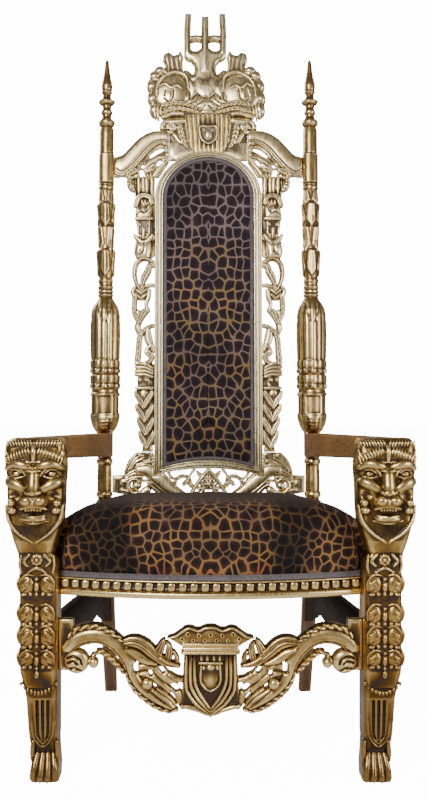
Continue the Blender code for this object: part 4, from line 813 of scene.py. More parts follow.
def post():
    """The right post, drawn upright round its own middle and then set on its line."""
    rows = post_profile()
    levels = np.unique(np.concatenate([np.arange(0, 0.54, 0.012), np.arange(0.54, 1.7166, 0.0021),
                                       rows[:, 0]]))
    half = np.interp(levels, rows[:, 0], rows[:, 1])[:, None]
    square = np.interp(levels, rows[:, 0], rows[:, 2])[:, None]
    z = levels[:, None]
    angle = (2 * np.pi * (np.arange(POST_AROUND) + 0.5) / POST_AROUND)[None, :]
    reach = half * (np.abs(np.cos(angle)) ** square + np.abs(np.sin(angle)) ** square) ** (-1 / square)
    front = angle + np.pi / 2
    reeds = band(z, 0.913, 1.06, 0.012)
    fold = np.clip((z - 1.012) / 0.05, 0, 1)
    reach = reach + reeds * 0.0028 * (lobes(front, 14) - 0.6)
    quarter = np.abs((front * 2 / np.pi) - np.round(front * 2 / np.pi)) * 2
    reach = reach - 0.0022 * np.exp(-((quarter - (0.15 + 0.7 * fold)) / 0.1) ** 2) * band(z, 1.012, 1.066,
            0.006)
    for low, high in ((0.8395, 0.8735), (0.8785, 0.9115)):
        share = np.clip((z - low) / (high - low), 0, 1)
        tips = lobes(front, 12)
        reach = reach + band(z, low, high, 0.003) * 0.0024 * (tips - 0.5) * (0.6 + 0.8 * share)
        knob = np.exp(-(((z - low - 0.0055) / 0.005) ** 2)) * np.clip(np.cos(front * 12) + 0.35, 0, 1)
        reach = reach + 0.0034 * knob * band(z, low - 0.002, high)
        reach = reach - 0.0016 * np.exp(-((z - low - 0.013) / 0.0022) ** 2)
    eighth = np.abs(front * 4 / np.pi / 2 - np.round(front * 4 / np.pi / 2)) * 2
    panel = band(z, 0.7745, 0.8195, 0.002) * np.clip((0.66 - eighth) / 0.08, 0, 1)
    reach = reach - 0.0026 * panel
    reach = reach - 0.0018 * band(z, 0.768, 0.825, 0.002) * np.exp(-((eighth - 0.97) / 0.05) ** 2)
    near = np.abs((front + np.pi) % (2 * np.pi) - np.pi)
    for k in range(4):
        level, wide = 0.76 - 0.0085 * k, 0.17 - 0.02 * k
        for turn in (-1, 0, 1):
            beside = ((front - turn * 0.2 + np.pi) % (2 * np.pi) - np.pi) / wide
            spot = beside ** 2 + ((z - level - 0.002 * abs(turn)) / 0.0042) ** 2
            reach = reach + 0.0034 * np.exp(-spot * 1.4)
    reach = reach + 0.0012 * np.exp(-((near - 0.55) / 0.06) ** 2) * band(z, 0.735, 0.764)
    for low, high, turn in ((1.131, 1.204, 0.0), (1.198, 1.266, np.pi / 4), (1.264, 1.329, 0.0),
                            (1.325, 1.362, np.pi / 4)):
        reach = reach + wrapping_leaves(front, z, low, high, 4, turn)
    reach = np.minimum(reach, np.maximum(0.0402,
                                         half / np.maximum(np.abs(np.cos(angle)), np.abs(np.sin(angle)))))
    x, y = POST_X + reach * np.cos(angle), post_y(z) + reach * np.sin(angle)
    return np.stack([x, y, np.broadcast_to(z, x.shape)], -1).reshape(-1, 3), POST_AROUND


POST_GILDING = gilding("post_gilding", (0.06, 0.03, 0.012), (0.22, 0.125, 0.043), (0.42, 0.265, 0.095),
                       (0.74, 0.56, 0.27), 0.08, 0.4, 0.547)
post_right = tube("post_turning_right", *post(), POST_GILDING)
marked_for_wear_and_shade(post_right, 0.0011)
placed_twice(post_right, "post_turning_left", "gilding", "back_post")

# Back frame. A run moulding with an outer bead, a hollow, a broad round and an inner fillet, arched on top
# and gently arched below.
FRAME_HALF = 0.1418
FRAME_SPRING = 1.345
FRAME_ARCH = 0.122
FRAME_FOOT = 0.612


def frame_line(inset, top_inset, sides=60, foot=24):
    """Outline of the frame moved inwards."""
    half, rise = FRAME_HALF - JOINT_GAP - inset, FRAME_ARCH - top_inset
    line = [(half * math.cos(math.pi * k / sides), FRAME_SPRING + rise * math.sin(math.pi * k / sides))
            for k in range(sides + 1)]
    low = FRAME_FOOT + inset
    for k in range(1, 30):
        line.append((-half, FRAME_SPRING + (low - FRAME_SPRING) * k / 30))
    for k in range(foot + 1):
        share = 2 * k / foot - 1
        line.append((half * share, low + 0.018 * (1 - share ** 2)))
    for k in range(29, 0, -1):
        line.append((half, FRAME_SPRING + (low - FRAME_SPRING) * k / 30))
    return line


def leant(obj, y=None):
    """Stand a piece in the leaning back, or in the given plane."""
    count = len(obj.data.vertices)
    points = np.empty(count * 3, np.float32)
    obj.data.vertices.foreach_get("co", points)
    points = points.reshape(-1, 3)
    points[:, 1] += BACK_FOOT + points[:, 2] * LEAN if y is None else y
    obj.data.vertices.foreach_set("co", points.ravel())
    obj.data.update()


def swept(name, section, finish, face, top_face):
    """A closed moulding: rows of (share across the face, y) carried round the frame's line."""
    rings = [frame_line(share * face, share * top_face) for share, y in section]
    around, count = len(rings[0]), len(section)
    points = [(x, y, z) for (share, y), ring in zip(section, rings) for x, z in ring]
    rows, turn = np.arange(count)[:, None], np.arange(around)[None, :]
    a, b = rows * around + turn, rows * around + (turn + 1) % around
    c, d = ((rows + 1) % count) * around + (turn + 1) % around, ((rows + 1) % count) * around + turn
    obj = made(name, np.array(points), np.stack([a, d, c, b], -1).reshape(-1, 4), finish)
    facing_out(obj)
    return obj


MOULDING = [(0, 0.0135), (0, -0.004), (0.015, -0.0075), (0.045, -0.01), (0.085, -0.0112), (0.125, -0.0108),
            (0.155, -0.0092), (0.17, -0.0066), (0.2, -0.006), (0.215, -0.0082), (0.245, -0.0098),
            (0.285, -0.01), (0.315, -0.0086), (0.33, -0.006), (0.365, -0.0058), (0.4, -0.0088),
            (0.44, -0.012), (0.5, -0.0142), (0.56, -0.0146), (0.62, -0.0138), (0.68, -0.0118),
            (0.72, -0.0092), (0.74, -0.0068), (0.78, -0.0066), (0.8, -0.0084), (0.85, -0.0096),
            (0.9, -0.0092), (0.94, -0.0074), (0.96, -0.005), (1.0, -0.004), (1.0, 0.0135)]
# Paler copy of the leaf for the frame: partly its finish, partly painted light, as the upper back is painted
# more brightly lit.
FRAME_GILDING = gilding("frame_gilding", (0.14, 0.09, 0.045), (0.48, 0.37, 0.19), (0.84, 0.7, 0.4),
                        (0.98, 0.9, 0.64), 0.04, 0.25)
frame_moulding = swept("frame_moulding", MOULDING, FRAME_GILDING, 0.0232, 0.0152)
marked_for_wear_and_shade(frame_moulding, 0.0012)
leant(frame_moulding)
placed(frame_moulding, "gilding", "back_frame")

# Back pad. Leopard velvet drawn over a thin stuffed panel: flat along the nailed border, softly crowned
# inside. The print is mirrored about the middle, as the cloth was cut: dark irregular spots parted by tan
# lines, with orange and yellow where it warms.


def leopard(name, spot, long, line, warm, dark, bands, cool, veil):
    """Print on pile, mirrored about the middle: rounded dark spots, lines that cool along the cloth, light
    and dark bands across its width, and a stretch over which a dark grey-brown is painted over the print:
    painted sheen of the pile seen edge-on."""
    finish, tree, shader = blank(name)
    print_at = node(tree, "ShaderNodeAttribute", attribute_name="print")
    split, join = node(tree, "ShaderNodeSeparateXYZ"), node(tree, "ShaderNodeCombineXYZ")
    mirror = node(tree, "ShaderNodeMath", operation="ABSOLUTE")
    bend = node(tree, "ShaderNodeTexNoise", Scale=22.0, Detail=2.0)
    pull = node(tree, "ShaderNodeVectorMath", operation="SUBTRACT")
    pull.inputs[1].default_value = (0.5, 0.5, 0.5)
    strength = node(tree, "ShaderNodeVectorMath", operation="SCALE", Scale=0.018)
    moved = node(tree, "ShaderNodeVectorMath", operation="ADD")
    stretch = node(tree, "ShaderNodeMapping")
    stretch.inputs["Scale"].default_value = (1.0 / spot, 1.0 / (spot * long), 1.0)
    cell = node(tree, "ShaderNodeTexVoronoi", feature="DISTANCE_TO_EDGE", voronoi_dimensions="2D",
                Scale=1.0, Randomness=0.72)
    inner = node(tree, "ShaderNodeTexVoronoi", feature="F1", voronoi_dimensions="2D", Scale=1.0,
                 Randomness=0.72)
    corner, rounded = spanned(tree, 0.45, 0.85, 0.0, -0.09), node(tree, "ShaderNodeMath", operation="ADD")
    warmth = node(tree, "ShaderNodeTexNoise", Scale=13.0, Detail=3.0)
    cooling, tint = spanned(tree, *cool, 0.0, 0.3), node(tree, "ShaderNodeMath", operation="SUBTRACT")
    fuzz = node(tree, "ShaderNodeTexNoise", Scale=900.0, Detail=2.0)
    fray = node(tree, "ShaderNodeMath", operation="MULTIPLY_ADD")
    fray.inputs[1].default_value = 0.05
    vary = node(tree, "ShaderNodeMath", operation="MULTIPLY_ADD")
    vary.inputs[1].default_value = -0.16
    width = spanned(tree, line - 0.095, line - 0.045)
    mix = node(tree, "ShaderNodeMix", data_type="RGBA")
    shade = node(tree, "ShaderNodeTexNoise", Scale=6.0, Detail=2.0)
    nap = node(tree, "ShaderNodeMix", data_type="RGBA", blend_type="MULTIPLY")
    across = node(tree, "ShaderNodeMix", data_type="RGBA", blend_type="MULTIPLY")
    nap.inputs["Factor"].default_value = across.inputs["Factor"].default_value = 1.0
    side, hidden = spanned(tree, -0.4, 0.4), spanned(tree, *veil, 0.0, 0.85)
    # Painted sheen: the veil lays a dark grey-brown over the print where the pile is seen edge-on.
    sheen_veil = node(tree, "ShaderNodeMix", data_type="RGBA")
    sheen_veil.inputs["B"].default_value = (0.04, 0.03, 0.026, 1.0)
    pile = node(tree, "ShaderNodeBump", Strength=0.35, Distance=0.0012)
    shader.inputs["Roughness"].default_value = 0.86
    shader.inputs["Specular IOR Level"].default_value = 0.22
    shader.inputs["Sheen Weight"].default_value = 0.05
    shader.inputs["Sheen Roughness"].default_value = 0.45
    shader.inputs["Sheen Tint"].default_value = (0.56, 0.4, 0.36, 1.0)
    link(tree, [(print_at.outputs["Vector"], split.inputs[0]), (split.outputs["X"], mirror.inputs[0]),
                (mirror.outputs[0], join.inputs["X"]), (split.outputs["Y"], join.inputs["Y"]),
                (print_at.outputs["Vector"], bend.inputs["Vector"]),
                (bend.outputs["Color"], pull.inputs[0]), (pull.outputs[0], strength.inputs[0]),
                (strength.outputs[0], moved.inputs[0]), (join.outputs[0], moved.inputs[1]),
                (moved.outputs[0], stretch.inputs["Vector"]), (stretch.outputs[0], cell.inputs["Vector"]),
                (stretch.outputs[0], inner.inputs["Vector"]),
                (inner.outputs["Distance"], corner.inputs["Value"]),
                (corner.outputs["Result"], rounded.inputs[0]),
                (cell.outputs["Distance"], rounded.inputs[1]), (join.outputs[0], warmth.inputs["Vector"]),
                (split.outputs["Y"], cooling.inputs["Value"]), (warmth.outputs["Fac"], tint.inputs[0]),
                (cooling.outputs["Result"], tint.inputs[1]),
                (print_at.outputs["Vector"], fuzz.inputs["Vector"]), (fuzz.outputs["Fac"], fray.inputs[0]),
                (warmth.outputs["Fac"], vary.inputs[0]), (rounded.outputs[0], vary.inputs[2]),
                (vary.outputs[0], fray.inputs[2]), (fray.outputs[0], width.inputs["Value"]),
                (width.outputs["Result"], mix.inputs["Factor"]),
                (ramp(tree, tint.outputs[0], warm), mix.inputs["A"]),
                (ramp(tree, inner.outputs["Distance"], dark), mix.inputs["B"]),
                (print_at.outputs["Vector"], shade.inputs["Vector"]),
                (mix.outputs["Result"], nap.inputs["A"]),
                (ramp(tree, shade.outputs["Fac"], [(0.35, (0.72, 0.72, 0.72)), (0.65, (1.12, 1.12, 1.12))]),
                 nap.inputs["B"]), (split.outputs["X"], side.inputs["Value"]),
                (nap.outputs["Result"], across.inputs["A"]),
                (ramp(tree, side.outputs["Result"], [((x + 0.4) / 0.8, (v, v, v)) for x, v in bands]),
                 across.inputs["B"]), (split.outputs["Y"], hidden.inputs["Value"]),
                (hidden.outputs["Result"], sheen_veil.inputs["Factor"]),
                (across.outputs["Result"], sheen_veil.inputs["A"]),
                (sheen_veil.outputs["Result"], shader.inputs["Base Color"]),
                (fuzz.outputs["Fac"], pile.inputs["Height"]),
                (pile.outputs["Normal"], shader.inputs["Normal"])])
    return finish


def printed(obj, rule):
    """Lay the print on a piece: rule turns a point and the way it faces into its place on the cloth."""
    kept = obj.data.attributes.new("print", "FLOAT_VECTOR", "POINT")
    places = np.array([rule(v.co, v.normal) for v in obj.data.vertices], np.float32)
    kept.data.foreach_set("vector", places.ravel())


def inner_line(inset):
    return frame_line(0.0238 + inset, 0.0158 + inset)


def back_pad():
    """The crowned panel in rings that shrink to its middle line."""
    steps = [(0.0, 0.0095), (0.0, -0.0036), (0.007, -0.004), (0.0085, -0.0046)]
    for k in range(1, 25):
        share = k / 24
        steps.append((0.0085 + 0.107 * share, -0.0046 - 0.013 * (1 - (1 - min(share * 1.35, 1.0)) ** 2.6)))
    rings = []
    for inset, y in steps:
        rings.append([(x, y, z) for x, z in inner_line(inset)])
    obj = tube("back_panel", [p for ring in rings for p in ring], len(rings[0]), None)
    obj.data.materials.clear()
    return obj


LEOPARD_BACK = leopard("leopard_back", 0.0235, 1.2, 0.086,
                       [(0.28, (0.145, 0.11, 0.112)), (0.44, (0.18, 0.118, 0.092)),
                        (0.56, (0.19, 0.128, 0.052)), (0.7, (0.25, 0.11, 0.055))],
                       [(0.1, (0.012, 0.007, 0.011)), (0.38, (0.022, 0.011, 0.014)),
                        (0.6, (0.036, 0.016, 0.016))], [(-0.2, 0.95), (0.2, 0.95)], (1.1, 1.35), (2.0, 3.0))
panel = back_pad()
panel.data.materials.append(LEOPARD_BACK)
printed(panel, lambda co, out: (co.x, co.z, 0.0))
leant(panel)
placed(panel, "leopard_velvet", "back_pad")

# Back braid. Woven grey braid glued over the tacks, a fine cord along each edge of it.


def woven(name):
    """Grey braid with a woven bump, soiled in patches."""
    finish, tree, shader = blank(name)
    place = node(tree, "ShaderNodeTexCoord")
    weave = node(tree, "ShaderNodeTexVoronoi", Scale=620.0, Randomness=0.35)
    soil = node(tree, "ShaderNodeTexNoise", Scale=30.0, Detail=3.0)
    height = node(tree, "ShaderNodeBump", Strength=0.6, Distance=0.0006)
    mix = node(tree, "ShaderNodeMix", data_type="RGBA", blend_type="MULTIPLY")
    mix.inputs["Factor"].default_value = 0.8
    shader.inputs["Roughness"].default_value = 0.78
    link(tree, [(place.outputs["Object"], weave.inputs["Vector"]),
                (place.outputs["Object"], soil.inputs["Vector"]),
                (ramp(tree, weave.outputs["Distance"],
                      [(0.1, (0.205, 0.17, 0.178)), (0.6, (0.08, 0.066, 0.07))]), mix.inputs["A"]),
                (ramp(tree, soil.outputs["Fac"], [(0.35, (0.75, 0.73, 0.72)), (0.65, (1.0, 1.0, 1.0))]),
                 mix.inputs["B"]), (mix.outputs["Result"], shader.inputs["Base Color"]),
                (weave.outputs["Distance"], height.inputs["Height"]),
                (height.outputs["Normal"], shader.inputs["Normal"])])
    return finish


BRAID_GREY = woven("braid_grey")
BRAID_SECTION = [(0.0, -0.0044), (0.0, -0.0064), (0.0006, -0.0072), (0.0014, -0.0072), (0.002, -0.0064),
                 (0.004, -0.0068), (0.006, -0.0064), (0.0066, -0.0072), (0.0074, -0.0072), (0.008, -0.0064),
                 (0.008, -0.0044)]
rows = [[(x, y, z) for x, z in inner_line(inset)] for inset, y in BRAID_SECTION]
back_braid = tube("back_braid_band", [p for ring in rows for p in ring], len(rows[0]), BRAID_GREY,
                  caps=False)
leant(back_braid)
placed(back_braid, "grey_braid", "back_braid")

# Crest. One board between the brackets: three prongs with cross bars, crown fans, two masks cheek to
# cheek, a fluted shield with a small escutcheon, and paw scrolls that rest on the brackets. It is carved
# from the front only, in pale gold.
BOARD_STEP = 0.0011
RELIEF_REACH = 0.0011
CREST_SWAY = 0.0085


def mm(*points):
    """Points drawn in millimetres."""
    return [tuple(value / 1000 for value in point) for point in points]


class Board:
    """A board carved from the front: its outline over (x, z) and how far its front stands forward."""

    def __init__(self, x0, x1, z0, z1, step=BOARD_STEP, swell=1.0):
        self.step, self.swell = step, swell
        self.halved = x0 is None
        self.x = (np.arange(int(x1 / step)) + 0.5) * step if self.halved else np.arange(x0, x1, step)
        self.z = np.arange(z0, z1, step)
        self.edge = np.full((len(self.x), len(self.z)), 0.02)
        self.front = np.full(self.edge.shape, -0.05)

    def window(self, points, reach):
        low, high = np.min(points, 0) - reach, np.max(points, 0) + reach
        i0, i1 = np.searchsorted(self.x, (low[0], high[0]))
        k0, k1 = np.searchsorted(self.z, (low[1], high[1]))
        return (slice(i0, i1), slice(k0, k1)), self.x[i0:i1, None], self.z[None, k0:k1]

    def put(self, where, edge, height, soft=0.0012):
        """Join a form to the board."""
        self.edge[where] = np.minimum(self.edge[where], edge)
        height = np.where(edge < 0.0004, height, -0.05)
        kept = self.front[where]
        near = np.maximum(soft - np.abs(kept - height), 0)
        self.front[where] = np.maximum(kept, height) + near * near / (4 * soft)

    def route(self, rows, reach, fuller=1.0):
        """Share across (-1 to 1), way run and width of a curved strand at every point near it."""
        route = np.array(through(rows))
        route[:, 2] *= fuller
        where, x, z = self.window(route[:, :2], route[:, 2].max() + reach)
        shape = np.broadcast_shapes(x.shape, z.shape)
        gap, half, run, turn = (np.full(shape, v) for v in (9.0, 1.0, 0.0, 1.0))
        way = 0.0
        for a, b in zip(route, route[1:]):
            dx, dz = b[0] - a[0], b[1] - a[1]
            length = math.hypot(dx, dz) + 1e-9
            t = np.clip(((x - a[0]) * dx + (z - a[1]) * dz) / length ** 2, 0, 1)
            px, pz = x - a[0] - t * dx, z - a[1] - t * dz
            off, wide = np.hypot(px, pz), a[2] + t * (b[2] - a[2])
            nearer = off - wide < gap - half
            gap, half = np.where(nearer, off, gap), np.where(nearer, wide, half)
            run = np.where(nearer, way + t * length, run)
            turn = np.where(nearer, np.sign(dx * pz - dz * px), turn)
            way += length
        return where, gap, np.maximum(half, 0.0006), run, turn, way

    def stroke(self, rows, base, rise, style=None, soft=0.0012):
        """A rounded member; style adds its own relief from the share across, the way run and its length."""
        where, gap, half, run, turn, way = self.route(rows, 0.003, self.swell)
        q = np.clip(gap / half, 0, 1)
        height = base + rise * np.sqrt(1 - q * q)
        if style:
            height = height + style(q * turn, run, way)
        self.put(where, gap - half, height, soft)

    def egg(self, centre, radii, base, rise, style=None):
        where, x, z = self.window([centre], max(radii) + 0.003)
        u, v = (x - centre[0]) / radii[0], (z - centre[1]) / radii[1]
        q = np.hypot(u, v)
        height = base + rise * np.sqrt(np.maximum(1 - q * q, 0))
        if style:
            height = height + style(u, v, q)
        self.put(where, (q - 1) * min(radii), height)

    def plate(self, outline, base, rise=0.0, style=None, soft=0.0012):
        """A flat form with a drawn outline; it may swell towards its middle."""
        points = np.array(outline)
        where, x, z = self.window(points, 0.004)
        shape = np.broadcast_shapes(x.shape, z.shape)
        gap, inside = np.full(shape, 9.0), np.zeros(shape, bool)
        for (ax, az), (bx, bz) in zip(points, np.roll(points, -1, 0)):
            dx, dz = bx - ax, bz - az
            if not (self.halved and ax == bx == 0):
                t = np.clip(((x - ax) * dx + (z - az) * dz) / (dx * dx + dz * dz + 1e-12), 0, 1)
                gap = np.minimum(gap, np.hypot(x - ax - t * dx, z - az - t * dz))
            inside ^= ((az > z) != (bz > z)) & (x < (bx - ax) * (z - az) / (bz - az + 1e-12) + ax)
        gap = np.where(inside, -gap, gap)
        height = base + rise * np.sqrt(np.clip(-gap / 0.012, 0, 1))
        if style:
            height = height + style(x, z, gap)
        self.put(where, gap, height, soft)

    def groove(self, rows, depth):
        """A line cut with a veining tool."""
        where, gap, half, *_ = self.route(rows, 0.001)
        self.front[where] -= depth * np.maximum(1 - gap / half, 0) ** 0.7

    def pierce(self, rows):
        where, gap, half, *_ = self.route(rows, 0.004)
        self.edge[where] = np.maximum(self.edge[where], half - gap)

    def carve(self, name, finish, back, faces):
        """Cut the board out, with softened arrises."""
        edge, front = self.edge, self.front - 0.0035 * np.exp(np.minimum(self.edge, 0) / 0.0016)
        x0 = self.x[0]
        if self.halved:
            edge, front = np.concatenate([edge[::-1], edge]), np.concatenate([front[::-1], front])
            x0 = -self.x[-1]
        deep = np.arange(-front.max() - 3 * self.step, back + 3 * self.step, self.step)
        field = np.maximum(edge[:, None, :], -front[:, None, :] - deep[None, :, None])
        field = np.maximum(field, deep[None, :, None] - back + 0.002
                           * np.exp(np.minimum(edge, 0) / 0.002)[:, None, :])
        field[[0, -1]] = field[:, :, [0, -1]] = 0.02
        points, squares = surface_of(field.astype(np.float32), (x0, deep[0], self.z[0]), self.step)
        obj = made(name, points, squares, finish)
        thinned(obj, faces)
        marked_for_wear_and_shade(obj, RELIEF_REACH)
        return obj


def twisted(pitch, deep=0.0021):
    return lambda q, s, way: deep * np.cos(2 * np.pi * (s / pitch + 0.42 * q)) - deep


def leafy(pitch, deep=0.0016):
    return lambda q, s, way: (-0.003 * np.exp(-(q / 0.16) ** 2)
                              + deep * np.cos(2 * np.pi * (s / pitch - 0.9 * np.abs(q))) * np.abs(q) ** 0.7)


def veined(deep, wide, *places):
    """Lines sunk along a strand at these shares across it."""
    return lambda q, s, way: -deep * sum(np.exp(-((q - place) / wide) ** 2) for place in places)


def reeded(count, deep=0.0022):
    return lambda q, s, way: -deep * (1 - np.abs(np.cos(np.pi * count * q / 2)))


def frame_gap(board):
    """Distance into the outer line of the back frame, positive inside it."""
    x, z = np.abs(board.x)[:, None], board.z[None, :]
    arch = (1 - np.hypot(x / FRAME_HALF, (z - FRAME_SPRING) / FRAME_ARCH)) * FRAME_ARCH
    shaft = FRAME_HALF - x
    above = np.where(z > FRAME_SPRING, arch, shaft)
    bottom = z - FRAME_FOOT - 0.018 * (1 - np.minimum(x / FRAME_HALF, 1) ** 2)
    return np.minimum(above, bottom)


# Paler copy of the leaf for the crest, brackets and lower rail: partly its finish, partly painted light,
# painted more brightly lit than the legs.
PALE_GILDING = gilding("pale_gilding", (0.11, 0.07, 0.034), (0.42, 0.3, 0.15), (0.72, 0.55, 0.27),
                       (0.97, 0.83, 0.5), 0.05, 0.25)

crest = Board(None, 0.17, 1.44, 1.858)
crest.plate(mm((0, 1836.5), (10, 1836.5), (10.5, 1737.9), (11, 1682.1), (0, 1682.1)), 0.007, 0.006)
crest.plate(mm((36.5, 1844.5), (54.5, 1845), (57.5, 1790), (56.5, 1727.7), (37, 1727.7), (39, 1790)), 0.006,
            0.006)
crest.plate(mm((0, 1783), (24, 1788), (45, 1784), (45, 1766), (24, 1770), (0, 1766)), 0.004, 0.005)
crest.plate(mm((0, 1752), (12, 1750), (22, 1743), (34, 1744), (41, 1752), (56.5, 1743), (56, 1725.7),
               (48, 1717.1), (38, 1714), (31, 1704.4), (28.5, 1692.2), (32, 1678), (44, 1667.9),
               (30, 1641.6), (0, 1641.6)), 0.004, 0.006)
crest.plate(mm((0, 1562.8), (100, 1562.8), (112, 1631.4), (80, 1682.1), (48, 1692.2), (30, 1677),
               (0, 1671.9)), 0.004, 0.004)
fan = [(0.058, 1.6821), (0.06, 1.7145), (0.057, 1.7267), (0.066, 1.745), (0.074, 1.7328), (0.085, 1.7308),
       (0.097, 1.7399), (0.111, 1.7338), (0.114, 1.7186), (0.107, 1.7023), (0.11, 1.6821), (0.1, 1.6638),
       (0.06, 1.6638)]
crest.plate(fan, 0.006, 0.005, lambda x, z, gap: -0.002
            * (1 - np.abs(np.cos(np.pi * (x - 0.086 - 0.15 * (z - 1.7)) / 0.013))))
for x, z, rx, rz in ((0.12, 1.6881, 0.0165, 0.0135), (0.134, 1.674, 0.0155, 0.0155),
                     (0.143, 1.6466, 0.015, 0.021), (0.144, 1.6132, 0.0145, 0.0225),
                     (0.14, 1.583, 0.015, 0.023)):
    crest.egg((x, z), (rx, rz), 0.002, 0.009,
              lambda u, v, q: -0.0022 * (1 - np.abs(np.cos(3.2 * v + 0.8 * u))))
crest.egg((0.093, 1.6274), (0.05, 0.052), 0.007, 0.011)
crest.stroke(mm((46, 1635.5, 3), (52, 1669.9, 4.2), (80, 1681, 5), (110, 1669.9, 4.8), (128, 1645.6, 4),
                (131, 1616.3, 3.2)), 0.014, 0.004)
crest.stroke(mm((66, 1636.5, 3), (78, 1643.6, 4.5), (92, 1637.5, 4.8), (108, 1647.6, 4), (122, 1641.6, 3)),
             0.015, 0.005)
crest.egg((0.0985, 1.6213), (0.015, 0.016), 0.01, 0.004)
crest.egg((0.0985, 1.6198), (0.0075, 0.015), 0.0125, 0.006)
crest.groove(mm((86, 1631.4, 2.6), (90, 1611.2, 3), (100, 1601.1, 2.8), (112, 1609.2, 2.2)), 0.0045)
crest.groove(mm((108, 1631.4, 2.2), (111, 1616.3, 2.6)), 0.004)
crest.stroke(mm((30, 1583, 3.5), (55, 1594.1, 5.5), (85, 1597.1, 6), (118, 1591, 4.8)), 0.013, 0.005,
             leafy(0.012))
crest.stroke(mm((20, 1570.8, 3), (50, 1578.9, 5), (82, 1583, 5.5), (116, 1572.9, 4.5)), 0.011, 0.005,
             leafy(0.012))
crest.stroke(mm((66, 1568.8, 4), (90, 1569.8, 6), (118, 1561.8, 5.5)), 0.01, 0.004)
for x, z in ((0.112, 1.587), (0.121, 1.5769), (0.13, 1.5708), (0.138, 1.5739)):
    crest.stroke([(x, z + 0.02, 0.0035), (x + 0.002, z, 0.0052), (x + 0.001, z - 0.014, 0.003)], 0.006,
                 0.005)
crest.plate(mm((0, 1657.7), (6, 1654.7), (15, 1663.8), (24, 1660.8), (33, 1651.7), (46, 1663.8),
               (46, 1631.4), (40, 1613.2), (24, 1625.4), (8, 1613.2), (0, 1615.3)), 0.013, 0.003)
crest.plate(mm((0, 1609.2), (10, 1609.2), (22, 1620.3), (34, 1611.2), (52, 1631.4), (62, 1613.2),
               (60, 1595.1), (44, 1583), (0, 1576.9)), 0.0105, 0.004)
for rows in (mm((8, 1607.2, 2.2), (18, 1597.1, 2.6), (34, 1587, 2.2)),
             mm((20, 1619.3, 2), (30, 1603.1, 2.6), (50, 1593, 2)),
             mm((4, 1591, 2), (14, 1580.9, 2.6), (20, 1570.8, 2)),
             mm((44, 1627.4, 2), (46, 1609.2, 2.6), (60, 1597.1, 2))):
    crest.groove(rows, 0.0042)
crest.plate(mm((40, 1562.8), (112, 1562.8), (116, 1530), (106, 1515), (106, 1445.2), (30, 1445.2)), 0.0025,
            0.002)
crest.plate(mm((0, 1568.8), (60, 1564.8), (60, 1538.6), (54, 1495.4), (40, 1468.3), (26, 1445.2),
               (0, 1445.2)), 0.009, 0.0, lambda x, z, gap: -0.0052
            * (1 - np.abs(np.cos(np.pi * (np.abs(x) / (0.8 + 0.9 * (z - 1.4452)) / 0.0138)))) + 0.001)
crest.plate(mm((0, 1535.6), (22, 1535.6), (22, 1508.4), (15, 1494.4), (0, 1487.3)), 0.0125)
crest.stroke(mm((0, 1533.1, 2.2), (21.5, 1533.1, 2.2), (21.5, 1509.4, 2), (14.5, 1495.4, 2),
                (0, 1487.8, 2)), 0.013, 0.0025)
crest.egg((0, 1.5124), (0.0095, 0.0125), 0.011, 0.0045)
crest.egg((0.0105, 1.525), (0.003, 0.003), 0.011, 0.004)
crest.stroke(mm((66, 1550.7, 8), (88, 1547.7, 10), (112, 1546.7, 8), (122, 1534.6, 8), (114, 1519.5, 7.5),
                (98, 1519.5, 6)), 0.007, 0.008)
crest.egg((0.098, 1.5336), (0.016, 0.013), 0.009, 0.008,
          lambda u, v, q: -0.002 * (1 - np.abs(np.cos(4.5 * q))))
crest.stroke(mm((76, 1538.6, 8), (72, 1514.5, 8.5), (64, 1490.3, 6), (56, 1478.3, 3)), 0.007, 0.006,
             leafy(0.012))
crest.stroke(mm((90, 1512.4, 6), (80, 1498.4, 6.5), (70, 1490.3, 4)), 0.006, 0.006)
crest.plate(mm((30, 1490.3), (103.5, 1490.3), (103.5, 1460.2), (85, 1445.2), (30, 1445.2)), 0.0055)
crest.edge = np.maximum(crest.edge, frame_gap(crest))
crest.edge = np.maximum(crest.edge, np.where(crest.z[None, :] < 1.5275, crest.x[:, None] - 0.104, -1.0))
crest_board = crest.carve("crest_carving", PALE_GILDING, 0.012, 98000)
for vertex in crest_board.data.vertices:
    share = min(max((vertex.co.z - 1.5) / 0.2, 0.0), 1.0)
    vertex.co.x -= CREST_SWAY * share * share * (3 - 2 * share)
leant(crest_board)
placed(crest_board, "gilding", "crest")

# Swept brackets. A broad rounded band rises from the post block to a volute against the crest; a thin leaf
# runs along the frame below it. The ground between them is sawn out.
bracket = Board(0.07, 0.262, 1.385, 1.545, swell=1.06)
bracket.plate(mm((98, 1503), (150, 1497), (190, 1462), (222, 1430), (214, 1412), (196, 1400), (188, 1426),
                 (164, 1418), (150, 1395), (134, 1395), (98, 1450)), 0.003, 0.001)
BAND = [(0.23, 1.43, 0.027), (0.214, 1.44, 0.0235), (0.192, 1.464, 0.0225), (0.169, 1.489, 0.0215),
        (0.144, 1.504, 0.0195), (0.118, 1.508, 0.0165), (0.098, 1.502, 0.015), (0.088, 1.486, 0.013),
        (0.093, 1.468, 0.011), (0.108, 1.459, 0.008)]
bracket.plate(mm((222, 1456), (250.2, 1454), (250.2, 1399.5), (236, 1400), (215, 1410)), 0.0065)
bracket.stroke(BAND, 0.006, 0.0085, lambda q, s, way: np.where(q < -0.62, -0.003, 0) - 0.0025
               * np.exp(-((q - 0.55) / 0.07) ** 2) - 0.002 * np.exp(-((q - 0.8) / 0.05) ** 2))
bracket.stroke(mm((118, 1490, 4.5), (106, 1488, 4.5), (104, 1476, 4.5), (113, 1469, 4), (119, 1475, 3.5)),
               0.01, 0.005)
bracket.egg((0.112, 1.478), (0.007, 0.007), 0.006, 0.006)
